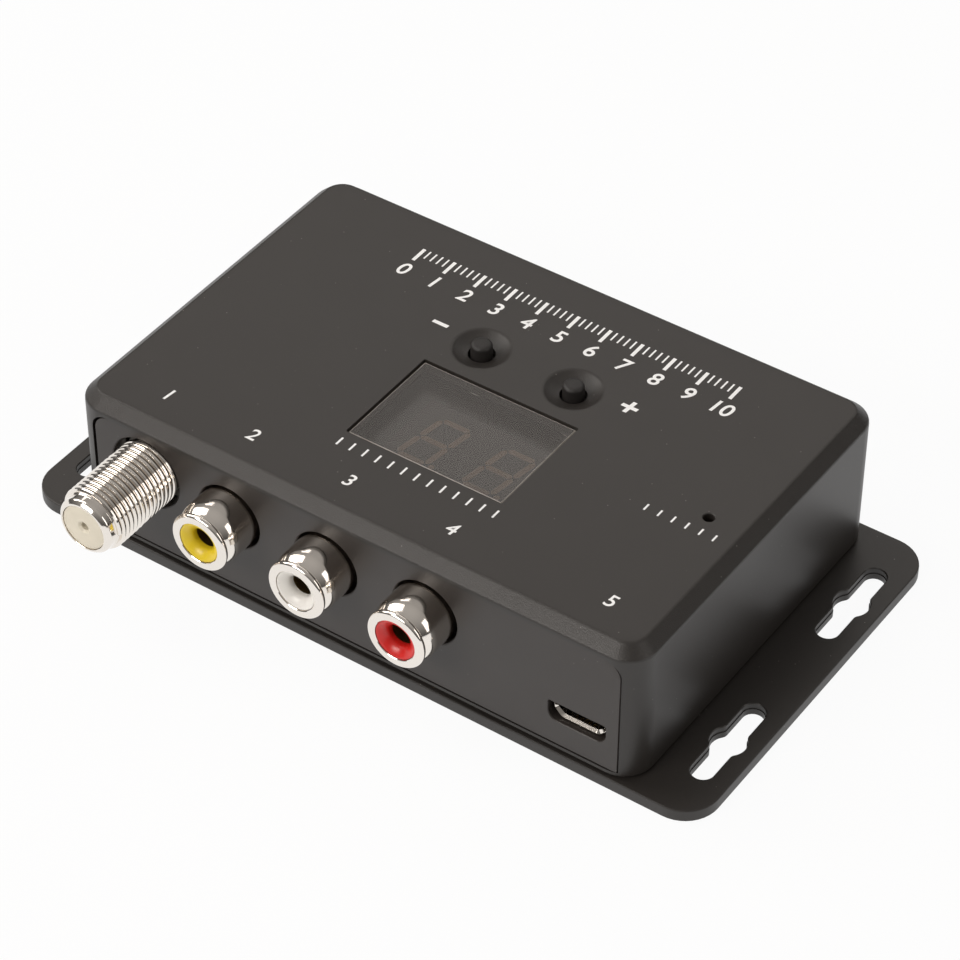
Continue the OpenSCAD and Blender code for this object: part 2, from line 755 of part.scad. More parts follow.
// Solder tab of a switch at one corner
module switch_tab(sx, sy, half, tab_root) {
    tab_y = sy * (half - switch_tab_w);
    x0 = sx * tab_root;
    x1 = sx * (half + switch_tab_len);
    block([min(x0, x1), tab_y - switch_tab_w / 2, display_board_top],
        [max(x0, x1), tab_y + switch_tab_w / 2, display_board_top + 2 * switch_tab_t]);
}

// Room round the screw columns and their webs in a board
module column_room(low, high) {
    room = column_r + column_gap;
    for (p = case_screw_places) {
        side_x = sign(p[0]) * inner_x;
        translate([p[0], p[1], low]) cylinder(r = room, h = high - low);
        block([min(p[0], side_x), p[1] - room, low], [max(p[0], side_x), p[1] + room, high]);
    }
}

module display_board() {
    color([0.08, 0.3, 0.16]) difference() {
        block([display_board_left, display_board_front, display_board_bottom],
            [display_board_right, display_board_back, display_board_top]);
        column_room(display_board_bottom - over, display_board_top + over);
        for (p = display_screw_places) translate([p[0], p[1], display_board_bottom - over])
            cylinder(r = screw_r + fit_gap, h = display_board_t + 2 * over);
        for (s = [-1, 1])
            translate([led_x + s * led_leg_span / 2, led_y, display_board_bottom - over])
                cylinder(r = led_leg_w, h = display_board_t + 2 * over);
    }
}

module main_board() {
    color([0.06, 0.34, 0.18]) difference() {
        intersection() {
            block([-inner_x, parts_front, board_bottom], [inner_x, inner_back, board_top]);
            inner_slab(board_edge_gap, board_bottom, board_t);
        }
        column_room(board_bottom - over, board_top + over);
        for (p = board_screw_places) translate([p[0], p[1], board_bottom - over])
            cylinder(r = screw_r + fit_gap, h = board_t + 2 * over);
    }
}

// Plastic socket strip that joins the two boards at the back
module board_header() {
    strip_len = header_posts * header_pitch;
    color([0.1, 0.1, 0.1]) translate([control_x, header_y, 0])
        block([-strip_len / 2, -header_pitch / 2, board_top],
            [strip_len / 2, header_pitch / 2, display_board_bottom]);
}

module display_pillars() {
    color([0.85, 0.85, 0.8]) for (p = display_screw_places) translate([p[0], p[1], board_top]) difference() {
        cylinder(r = display_pillar_r, h = display_board_bottom - board_top);
        cylinder(r = screw_r + pilot_gap, h = display_board_bottom - board_top + over);
    }
}

module power_light() {
    dome_z = led_top - led_r;
    color([0.8, 0.3, 0.25, 0.8]) translate([led_x, led_y, 0]) difference() {
        union() {
            translate([0, 0, led_low]) cylinder(r = led_r, h = dome_z - led_low);
            translate([0, 0, led_low]) cylinder(r = led_flange_r, h = led_h * led_flange_share);
            translate([0, 0, dome_z]) sphere(r = led_r);
        }
        led_leg_boxes(led_low - over, led_low + led_h * led_flange_share / 2);
    }
}

module led_leg_boxes(z0, z1) {
    for (s = [-1, 1])
        block([s * led_leg_span / 2 - led_leg_w / 2, -led_leg_w / 2, z0],
            [s * led_leg_span / 2 + led_leg_w / 2, led_leg_w / 2, z1]);
}

module power_light_legs() {
    color([0.75, 0.75, 0.75]) translate([led_x, led_y, 0])
        led_leg_boxes(display_board_bottom, led_low + led_h * led_flange_share / 2);
}

// Ridge of the thread: a flat crest between two sloping flanks
function thread_points(i) = let (y = coax_thread_front + i * coax_pitch,
    crest = coax_pitch * coax_crest_share, flank = (coax_pitch - 2 * crest) / 2)
    [[coax_root_r, y], [coax_r, y + flank], [coax_r, y + flank + crest], [coax_root_r, y + 2 * flank + crest]];

module coax_body() {
    bore_r = coax_insulator_r + fit_gap;
    nose_r = coax_root_r - coax_thread_depth / 2;
    chamfer = nose_r - coax_face_r;
    color([0.78, 0.76, 0.72]) {
        turned_y(coax_x, coax_z, concat(
            [[bore_r, coax_face], [coax_face_r, coax_face], [nose_r, coax_face + chamfer],
                [nose_r, coax_thread_front]],
            [for (i = [0:coax_turns - 1]) each thread_points(i)],
            [[coax_root_r, coax_thread_back], [coax_root_r, coax_hex_front + over],
                [bore_r, coax_hex_front + over]]));
        difference() {
            translate([coax_x, coax_hex_back, coax_z]) rotate([90, 0, 0])
                cylinder(r = coax_hex_r, h = coax_hex_t, $fn = 6);
            rod_y(coax_x, coax_z, bore_r, coax_hex_front - over, coax_hex_back + over);
        }
    }
}

module coax_insulator() {
    front = coax_face + coax_insulator_sink;
    color([0.9, 0.87, 0.78]) difference() {
        rod_y(coax_x, coax_z, coax_insulator_r, front, coax_hex_back);
        rod_y(coax_x, coax_z, coax_pin_hole_r, front - over, coax_hex_back);
        rod_y(coax_x, coax_z, coax_contact_r + fit_gap, front + coax_contact_cover, coax_hex_back + over);
    }
}

module coax_contact() {
    front = coax_face + coax_insulator_sink + coax_contact_cover;
    color([0.85, 0.7, 0.4]) difference() {
        rod_y(coax_x, coax_z, coax_contact_r, front + fit_gap, coax_hex_back + coax_tail_len);
        rod_y(coax_x, coax_z, coax_contact_r - coax_contact_wall, front - over, coax_hex_back);
    }
}

module jack_block(x) {
    half = jack_collar_r + jack_block_side;
    bore_y = parts_front + jack_block_depth / 2;
    color([0.07, 0.07, 0.07]) difference() {
        block([x - half, parts_front, board_top], [x + half, parts_front + jack_block_depth, jack_z + half]);
        rod_y(x, jack_z, jack_neck_r + fit_gap, parts_front - over, bore_y);
        rod_y(x, jack_z, jack_bore_r + jack_contact_wall + fit_gap, bore_y - over,
            parts_front + jack_block_depth - case_wall);
    }
}

module jack_shell(x) {
    inner_r = jack_neck_r - jack_shell_t;
    lip_y = jack_face + jack_lip_len;
    rim_y = jack_face + jack_rim_len;
    bead = jack_rim_len / 2;
    color([0.8, 0.78, 0.74]) turned_y(x, jack_z, concat(
        [[inner_r, jack_shell_back], [inner_r, lip_y], [jack_lip_r, lip_y], [jack_lip_r, jack_face]],
        [for (a = [90:-turn_step:jack_rim_end]) [jack_rim_r - bead * (1 - cos(a)), jack_face + bead * (1 - sin(a))]],
        [for (t = [0:jack_flare_steps]) let (share = t / jack_flare_steps)
            [jack_neck_r + (jack_collar_r - jack_neck_r) * pow(sin(90 * share), 2),
                rim_y + (jack_collar_face - rim_y) * share]],
        [[jack_collar_r, parts_front - fit_gap], [jack_neck_r, parts_front - fit_gap],
            [jack_neck_r, jack_shell_back]]));
}

module jack_insulator(x, tint) {
    outer_r = jack_neck_r - jack_shell_t - fit_gap;
    front_r = jack_lip_r - fit_gap;
    face = jack_face + jack_lens_sink;
    shoulder = jack_face + jack_lip_len + fit_gap;
    color(tint) turned_y(x, jack_z, concat(
        [[jack_bore_r, jack_lens_back], [jack_bore_r, face + jack_funnel_len]],
        [for (t = [jack_flare_steps - 1:-1:1]) let (share = t / jack_flare_steps)
            [jack_bore_r + (jack_funnel_r - jack_bore_r) * pow(1 - share, 2), face + jack_funnel_len * share]],
        [[jack_funnel_r, face], [front_r, face], [front_r, shoulder], [outer_r, shoulder],
            [outer_r, jack_lens_back]]));
}

module jack_contact(x) {
    outer = jack_bore_r + jack_contact_wall;
    front = jack_lens_back + fit_gap;
    color([0.82, 0.72, 0.5]) difference() {
        rod_y(x, jack_z, outer, front, parts_front + jack_block_depth - case_wall);
        rod_y(x, jack_z, jack_bore_r, front - over, parts_front + jack_block_depth - 2 * case_wall);
    }
}

// Outline of the micro socket's shell, narrow side down, reduced all round by a wall
function micro_outline(wall) = let (half = micro_w / 2 - wall, low = micro_low_w / 2 - wall,
    knee = micro_h * micro_side_h_share)
    [[-low, wall], [low, wall], [half, knee], [half, micro_h - wall], [-half, micro_h - wall], [-half, knee]];

module micro_prism(wall, y0, y1) {
    translate([micro_x, y1, board_top]) rotate([90, 0, 0]) linear_extrude(y1 - y0) polygon(micro_outline(wall));
}

module micro_shell() {
    color([0.8, 0.8, 0.8]) difference() {
        micro_prism(0, micro_front, micro_front + micro_depth);
        micro_prism(micro_wall, micro_front - over, micro_front + micro_depth + over);
    }
}

module micro_insert() {
    back = micro_front + micro_depth;
    tongue_z = board_top + micro_h - micro_wall - 2 * micro_tongue_t;
    color([0.08, 0.08, 0.08]) {
        micro_prism(micro_wall + fit_gap, back - micro_back_t, back);
        block([micro_x - micro_tongue_w / 2, micro_front + micro_tongue_t, tongue_z],
            [micro_x + micro_tongue_w / 2, back - micro_back_t / 2, tongue_z + micro_tongue_t]);
    }
}

module micro_contacts() {
    top = board_top + micro_h - micro_wall - 2 * micro_tongue_t;
    first = -(micro_pins - 1) / 2 * micro_pin_pitch;
    color([0.85, 0.7, 0.35]) for (i = [0:micro_pins - 1])
        translate([micro_x + first + i * micro_pin_pitch, 0, 0])
            block([-micro_pin_w / 2, micro_front + 2 * micro_tongue_t, top - micro_pin_t],
                [micro_pin_w / 2, micro_front + micro_depth - micro_back_t, top]);
}

module shield_can() {
    back = can_front + can_len;
    color([0.7, 0.7, 0.7]) difference() {
        block([can_left, can_front, board_top + can_board_gap],
            [can_right, back, can_top - can_wall - fit_gap]);
        block([can_left + can_wall, can_front + can_wall, board_top],
            [can_right - can_wall, back - can_wall, can_top + over]);
        rod_y(coax_x, coax_z, coax_insulator_r, can_front - over, can_front + can_wall + over);
    }
}

module shield_lid() {
    back = can_front + can_len;
    lip_low = can_top - lid_lip_h;
    color([0.74, 0.74, 0.74]) {
        block([can_left, can_front, can_top - can_wall], [can_right, back, can_top]);
        for (x = [can_left + can_wall + fit_gap, can_right - 2 * can_wall - fit_gap])
            block([x, can_front + 2 * can_wall, lip_low], [x + can_wall, back - 2 * can_wall, can_top]);
    }
}

module tuning_coils() {
    mid_x = (can_left + can_right) / 2;
    color([0.72, 0.4, 0.2]) for (share = coil_shares)
        translate([mid_x, can_front + can_len * share, board_top]) difference() {
            cylinder(r = coil_r, h = coil_h);
            cylinder(r = coil_r - coil_wire_t, h = coil_h + over);
        }
}

// Chip with a row of legs on its two long sides
module chip(x, y, len, depth, h, legs) {
    pitch = len / legs;
    color([0.1, 0.1, 0.1]) translate([x, y, board_top]) {
        block([-len / 2, -depth / 2, chip_leg_t / 2], [len / 2, depth / 2, h]);
        for (i = [0:legs - 1], s = [-1, 1])
            translate([(i - (legs - 1) / 2) * pitch, s * depth / 2, 0])
                block([-chip_leg_w / 2, -2 * chip_leg_w, 0], [chip_leg_w / 2, 2 * chip_leg_w, chip_leg_t]);
    }
}

module modulator_chip() {
    chip(control_x - modulator_len, (window_y + button_y + modulator_depth) / 2, modulator_len,
        modulator_depth, chip_h, modulator_legs);
}

module controller_chip() {
    chip(control_x + controller_depth, window_y, controller_len, controller_depth, chip_h, controller_legs);
}

module voltage_regulator() {
    chip(micro_x - regulator_len, display_board_front + regulator_len, regulator_len, regulator_depth,
        chip_h, regulator_legs);
}

module crystal() {
    color([0.78, 0.78, 0.76]) translate([control_x - modulator_len, window_y, board_top])
        round_slab(crystal_len, crystal_depth, crystal_h, crystal_depth * crystal_round_share);
}

module capacitors() {
    x = (can_right + display_board_left) / 2;
    color([0.12, 0.13, 0.16]) for (i = [1:capacitor_count])
        translate([x, case_screw_front + i * capacitor_pitch, board_top])
            cylinder(r = capacitor_r, h = capacitor_h);
}

module chip_parts() {
    color([0.5, 0.45, 0.38]) for (i = [0:chip_part_columns - 1], j = [0:chip_part_rows - 1])
        translate([control_x + i * chip_part_pitch, chip_part_y + j * chip_part_pitch, board_top])
            cube([chip_part_len, chip_part_w, chip_part_h]);
}

module case_screws() {
    color([0.3, 0.3, 0.3]) for (p = case_screw_places) translate([p[0], p[1], 0]) difference() {
        union() {
            cylinder(r1 = screw_head_r, r2 = screw_r, h = sink_depth);
            cylinder(r = screw_r, h = case_screw_len);
        }
        screw_cross(-over, sink_depth / 2);
    }
}

// Cross recess in a screw head
module screw_cross(z0, z1) {
    arm = screw_head_r * cross_arm_share;
    half = screw_head_r * cross_half_share;
    block([-arm, -half, z0], [arm, half, z1]);
    block([-half, -arm, z0], [half, arm, z1]);
}

// Board screw standing on a board whose top is at z, with its length below the head
module board_screw(place, z, below) {
    color([0.72, 0.72, 0.72]) translate([place[0], place[1], z]) difference() {
        union() {
            translate([0, 0, -below]) cylinder(r = screw_r, h = below + over);
            cylinder(r = screw_head_r, h = screw_head_h);
        }
        screw_cross(screw_head_h / 2, screw_head_h + over);
    }
}

module board_screws() {
    for (p = board_screw_places) board_screw(p, board_top, board_screw_len);
    for (p = display_screw_places) board_screw(p, display_board_top, display_screw_len);
}

upper_case();
base_plate();
front_panel();
display_window();
display_module();
digit_bars();
channel_button(button_places[0]);  // channel_down_button
channel_button(button_places[1]);  // channel_up_button
switch_plunger(button_places[0]);  // down_switch_plunger
switch_plunger(button_places[1]);  // up_switch_plunger
switch_body(button_places[0]);  // down_switch_body
switch_body(button_places[1]);  // up_switch_body
display_board();
main_board();
board_header();
display_pillars();
power_light();
power_light_legs();
coax_body();
coax_insulator();
coax_contact();
jack_block(jack_x[0]);  // video_jack_block
jack_shell(jack_x[0]);  // video_jack_shell
jack_insulator(jack_x[0], video_tint);  // video_jack_insulator
jack_contact(jack_x[0]);  // video_jack_contact
jack_block(jack_x[1]);  // left_jack_block
jack_shell(jack_x[1]);  // left_jack_shell
jack_insulator(jack_x[1], left_tint);  // left_jack_insulator
jack_contact(jack_x[1]);  // left_jack_contact
jack_block(jack_x[2]);  // right_jack_block
jack_shell(jack_x[2]);  // right_jack_shell
jack_insulator(jack_x[2], right_tint);  // right_jack_insulator
jack_contact(jack_x[2]);  // right_jack_contact
micro_shell();
micro_insert();
micro_contacts();
shield_can();
shield_lid();
tuning_coils();
modulator_chip();
controller_chip();
voltage_regulator();
crystal();
capacitors();
chip_parts();
case_screws();
board_screws();
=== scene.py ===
"""Looks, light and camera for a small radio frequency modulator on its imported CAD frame."""
import json
import logging
import math
from dataclasses import dataclass
from enum import Enum
from typing import Iterable, Sequence

import bmesh
import bpy
from mathutils import Matrix, Vector

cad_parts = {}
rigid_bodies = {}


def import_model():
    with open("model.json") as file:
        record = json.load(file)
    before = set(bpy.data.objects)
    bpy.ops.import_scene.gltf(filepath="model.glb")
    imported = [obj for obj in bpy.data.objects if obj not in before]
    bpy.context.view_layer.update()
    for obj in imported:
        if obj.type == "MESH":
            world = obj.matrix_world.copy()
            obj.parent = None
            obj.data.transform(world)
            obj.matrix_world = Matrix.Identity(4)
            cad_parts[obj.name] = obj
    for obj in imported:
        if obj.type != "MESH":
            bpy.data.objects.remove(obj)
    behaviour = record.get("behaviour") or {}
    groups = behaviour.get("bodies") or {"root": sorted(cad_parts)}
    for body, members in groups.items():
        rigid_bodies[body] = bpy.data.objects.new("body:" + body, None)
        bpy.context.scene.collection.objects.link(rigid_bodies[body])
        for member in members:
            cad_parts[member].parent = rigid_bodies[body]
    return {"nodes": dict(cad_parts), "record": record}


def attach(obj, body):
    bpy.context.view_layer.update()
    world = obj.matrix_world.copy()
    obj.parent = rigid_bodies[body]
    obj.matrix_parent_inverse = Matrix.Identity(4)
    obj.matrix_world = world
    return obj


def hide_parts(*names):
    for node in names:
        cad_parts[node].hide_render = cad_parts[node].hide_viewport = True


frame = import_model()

LOG = logging.getLogger("scene")
Point2 = tuple[float, float]
Triple = tuple[float, float, float]
Radii = tuple[float, float, float, float]
Value = bpy.types.NodeSocket | float | int | str | tuple

MM = 0.001
MERGE = 1e-7  # metres within which points become one
SHARP = 0.02  # least corner radius in mm
PAST = 1.0  # how far a cutting tool reaches past what it cuts, in mm
FACE_WEIGHT = 80  # how much large faces bend the normals at their edges, 50 is neutral

ROOF = 23.6
WINDOW_AT = (2.302, -6.3)
BUTTONS = ((-4.9, 8.4), (9.5, 8.4))
CASE_SCREWS = ((-38.9, -18.5), (38.9, -18.5), (-38.9, 22.0), (38.9, 22.0))
JACKS = (("video", "yellow_plastic", -18.6), ("left", "white_plastic", -3.296),
         ("right", "red_plastic", 12.007))


class Plane(Enum):
    """Plane that an outline is drawn in; its levels run along the third axis."""

    TOP = "top"
    FRONT = "front"

    def place(self, across: float, up: float, level: float) -> Vector:
        """Puts a point of an outline into the shared frame.

        Args:
            across: Place along X in mm.
            up: Place along the outline's second axis in mm.
            level: Place along the third axis in mm.

        Returns:
            The point in metres.
        """
        if self is Plane.TOP:
            return Vector((across, up, level)) * MM
        return Vector((across, level, up)) * MM


class Cut(Enum):
    """What a second solid does to the first one."""

    AWAY = "DIFFERENCE"
    JOIN = "UNION"


@dataclass(frozen=True)
class Outline:
    """Rectangle in mm with a radius of its own at each corner, from low left, anticlockwise."""

    left: float
    right: float
    low: float
    high: float
    radii: Radii
    steps: int = 10

    @classmethod
    def centred(cls, length: float, depth: float, radius: float,
                at: Point2 = (0.0, 0.0)) -> "Outline":
        """Makes an outline round a centre with one radius.

        Args:
            length: Size along X in mm.
            depth: Size along the second axis in mm.
            radius: Corner radius in mm.
            at: Centre in mm.

        Returns:
            The outline.
        """
        x, y = at
        return cls(x - length / 2, x + length / 2, y - depth / 2, y + depth / 2, (radius,) * 4)

    def points(self, inset: float) -> list[Point2]:
        """Gives the outline's points, moved inwards.

        Args:
            inset: Distance inwards in mm; a negative one grows the outline.

        Returns:
            The points in mm, anticlockwise.
        """
        corners = ((self.left, self.low, 180), (self.right, self.low, 270),
                   (self.right, self.high, 0), (self.left, self.high, 90))
        found = []
        for (x, y, start), radius in zip(corners, self.radii):
            turn = max(radius - inset, SHARP)
            cx = x + (inset + turn) * (1 if x == self.left else -1)
            cy = y + (inset + turn) * (1 if y == self.low else -1)
            for i in range(self.steps + 1):
                angle = math.radians(start + 90 * i / self.steps)
                found.append((cx + turn * math.cos(angle), cy + turn * math.sin(angle)))
        return found


def soften(path: Sequence[Point2], cuts: Sequence[float], steps: int = 4) -> list[Point2]:
    """Rounds the inner corners of an open path.

    Args:
        path: Points in mm.
        cuts: How far from each point its rounding starts, in mm; zero keeps a corner sharp.
        steps: Pieces in each rounding.

    Returns:
        The rounded path.
    """
    found = [path[0]]
    for before, corner, after, cut in zip(path, path[1:], path[2:], cuts[1:]):
        if cut <= 0:
            found.append(corner)
            continue
        c = Vector(corner)
        a = c + (Vector(before) - c).normalized() * cut
        b = c + (Vector(after) - c).normalized() * cut
        for i in range(steps + 1):
            t = i / steps
            p = a * (1 - t) ** 2 + c * 2 * t * (1 - t) + b * t**2
            found.append((p.x, p.y))
    return found + [path[-1]]


def new_object(name: str, mesh: bpy.types.Mesh) -> bpy.types.Object:
    """Links a new object with that mesh at the origin.

    Args:
        name: Name of the piece.
        mesh: Its mesh.

    Returns:
        The object.
    """
    obj = bpy.data.objects.new(name, mesh)
    bpy.context.scene.collection.objects.link(obj)
    return obj


def loft(name: str, rings: Sequence[Sequence[Vector]], cyclic: bool = False,
         capped: bool = True) -> bpy.types.Object:
    """Joins rings of points into one closed solid.

    Args:
        name: Name of the piece.
        rings: Rings with the same number of points each, in metres.
        cyclic: Whether the last ring joins the first one.
        capped: Whether the two end rings are filled, where cyclic is false.

    Returns:
        The solid.
    """
    bm = bmesh.new()
    verts = [[bm.verts.new(p) for p in ring] for ring in rings]
    pairs = list(zip(verts, verts[1:])) + ([(verts[-1], verts[0])] if cyclic else [])
    for a, b in pairs:
        for i in range(len(a)):
            j = (i + 1) % len(a)
            bm.faces.new((a[i], a[j], b[j], b[i]))
    if capped and not cyclic:
        bm.faces.new(verts[0])
        bm.faces.new(verts[-1])
    bmesh.ops.remove_doubles(bm, verts=bm.verts, dist=MERGE)
    bmesh.ops.recalc_face_normals(bm, faces=bm.faces)
    mesh = bpy.data.meshes.new(name)
    bm.to_mesh(mesh)
    bm.free()
    return new_object(name, mesh)


def prism(name: str, outline: Outline, plane: Plane, path: Sequence[Point2]) -> bpy.types.Object:
    """Sweeps an outline along a path of insets and levels.

    Args:
        name: Name of the piece.
        outline: Outline to sweep.
        plane: Plane it lies in.
        path: Rows of inset and level in mm.

    Returns:
        The solid.
    """
    return loft(name, [[plane.place(x, y, level) for x, y in outline.points(inset)]
                       for inset, level in path])


def lathe(name: str, profile: Sequence[Point2], plane: Plane, at: Point2,
          segments: int = 96) -> bpy.types.Object:
    """Turns a profile about an axis that is square to a plane.

    Args:
        name: Name of the piece.
        profile: Rows of radius and level in mm; one that starts and ends on the axis is open,
            any other closed.
        plane: Plane square to the axis.
        at: Where the axis meets the plane, in mm.
        segments: Pieces in a full turn.

    Returns:
        The solid.
    """
    angles = [2 * math.pi * i / segments for i in range(segments)]
    rings = [[plane.place(at[0] + r * math.cos(a), at[1] + r * math.sin(a), level)
              for a in angles] for r, level in profile]
    on_axis = profile[0][0] < 1e-6 and profile[-1][0] < 1e-6
    return loft(name, rings, cyclic=not on_axis, capped=False)


def bar(name: str, profile: Sequence[Point2], plane: Plane, at: Point2,
        segments: int = 96) -> bpy.types.Object:
    """Turns a profile into a full solid whose two ends reach the axis.

    Args:
        name: Name of the piece.
        profile: Rows of radius and level in mm, without the points on the axis.
        plane: Plane square to the axis.
        at: Where the axis meets the plane, in mm.
        segments: Pieces in a full turn.

    Returns:
        The solid.
    """
    closed = [(0.0, profile[0][1]), *profile, (0.0, profile[-1][1])]
    return lathe(name, closed, plane, at, segments)


def evaluated(obj: bpy.types.Object) -> bpy.types.Mesh:
    """Makes a plain mesh of what an object shows.

    Args:
        obj: Object with modifiers, or a text curve.

    Returns:
        The mesh.
    """
    graph = bpy.context.evaluated_depsgraph_get()
    graph.update()
    return bpy.data.meshes.new_from_object(obj.evaluated_get(graph), depsgraph=graph)


def bake(obj: bpy.types.Object) -> bpy.types.Object:
    """Turns an object's modifiers into plain geometry.

    Args:
        obj: Object with modifiers.

    Returns:
        The same object.
    """
    mesh = evaluated(obj)
    mesh.name = obj.name
    obj.modifiers.clear()
    obj.data = mesh
    return obj


def carve(target: bpy.types.Object, tools: Iterable[bpy.types.Object],
          cut: Cut = Cut.AWAY) -> bpy.types.Object:
    """Cuts solids out of another, or joins them to it, and removes the tools.

    Args:
        target: Solid to change.
        tools: Solids to cut with.
        cut: What the tools do.

    Returns:
        The changed solid.
    """
    tools = list(tools)
    for tool in tools:
        modifier = target.modifiers.new(tool.name, "BOOLEAN")
        modifier.operation = cut.value
        modifier.solver = "EXACT"
        modifier.object = tool
    bake(target)
    for tool in tools:
        bpy.data.objects.remove(tool)
    return target


def join(name: str, parts: Sequence[bpy.types.Object]) -> bpy.types.Object:
    """Puts the meshes of several objects into one.

    Args:
        name: Name of the new piece.
        parts: Objects at the origin; they are removed.

    Returns:
        The new piece.
    """
    bm = bmesh.new()
    for part in parts:
        bm.from_mesh(part.data)
        bpy.data.objects.remove(part)
    mesh = bpy.data.meshes.new(name)
    bm.to_mesh(mesh)
    bm.free()
    return new_object(name, mesh)


def polish(obj: bpy.types.Object, angle: float) -> None:
    """Shades a solid smoothly, with sharp edges above an angle and flat faces kept flat.

    Args:
        obj: Solid.
        angle: Angle in degrees above which an edge stays sharp.
    """
    obj.data.shade_smooth()
    obj.data.set_sharp_from_angle(angle=math.radians(angle))
    weighted = obj.modifiers.new("normals", "WEIGHTED_NORMAL")
    weighted.keep_sharp = True
    weighted.weight = FACE_WEIGHT
    bake(obj)


class Tree:
    """Node tree that is filled node by node."""

    def __init__(self, tree: bpy.types.NodeTree) -> None:
        """Takes over a node tree and empties it.

        Args:
            tree: The node tree.
        """
        self.tree = tree
        tree.nodes.clear()

    def add(self, kind: str, *ordered: Value, **named: Value) -> bpy.types.Node:
        """Adds a node, sets it up and fills its inputs.

        Args:
            kind: Type of the node.
            *ordered: Sockets or plain values for the first inputs.
            **named: In lower case, settings of the node. With a capital, sockets or plain
                values by the input's name, with underscores for spaces.

        Returns:
            The node.
        """
        made = self.tree.nodes.new(kind)
        for key in filter(str.islower, named):
            setattr(made, key, named[key])
        filled = list(zip(made.inputs, ordered))
        filled += [(made.inputs[key.replace("_", " ")], value) for key, value in named.items()
                   if not key.islower()]
        for socket, value in filled:
            if isinstance(value, bpy.types.NodeSocket):
                self.tree.links.new(value, socket)
            else:
                socket.default_value = value
        return made

    def math(self, operation: str, *values: Value) -> bpy.types.NodeSocket:
        """Adds a math node.

        Args:
            operation: What it does.
            *values: Its inputs.

        Returns:
            Its result.
        """
        return self.add("ShaderNodeMath", *values, operation=operation).outputs[0]

    def mix(self, share: Value, first: Value, second: Value) -> bpy.types.NodeSocket:
        """Mixes two colours.

        Args:
            share: Share of the second colour.
            first: First colour.
            second: Second colour.

        Returns:
            The mixed colour.
        """
        node = self.add("ShaderNodeMix", data_type="RGBA", Factor=share, A=first, B=second)
        return node.outputs["Result"]

    def noise(self, vector: Value, size: float, detail: float) -> bpy.types.NodeSocket:
        """Adds a noise texture of a given size.

        Args:
            vector: Coordinates.
            size: Size of a feature in mm.
            detail: Detail of the noise.

        Returns:
            The noise.
        """
        scale = 1.0 / (size * MM)
        node = self.add("ShaderNodeTexNoise", Vector=vector, Scale=scale, Detail=detail)
        return node.outputs["Fac"]


@dataclass(frozen=True)
class Pane:
    """Where a highlight is painted along the edge of a pane, in mm.

    Attributes:
        middle: Middle of the pane.
        half: Half length and half depth inside which no highlight is painted.
        low: Z above which the highlight is painted.
    """

    middle: Point2
    half: Point2
    low: float


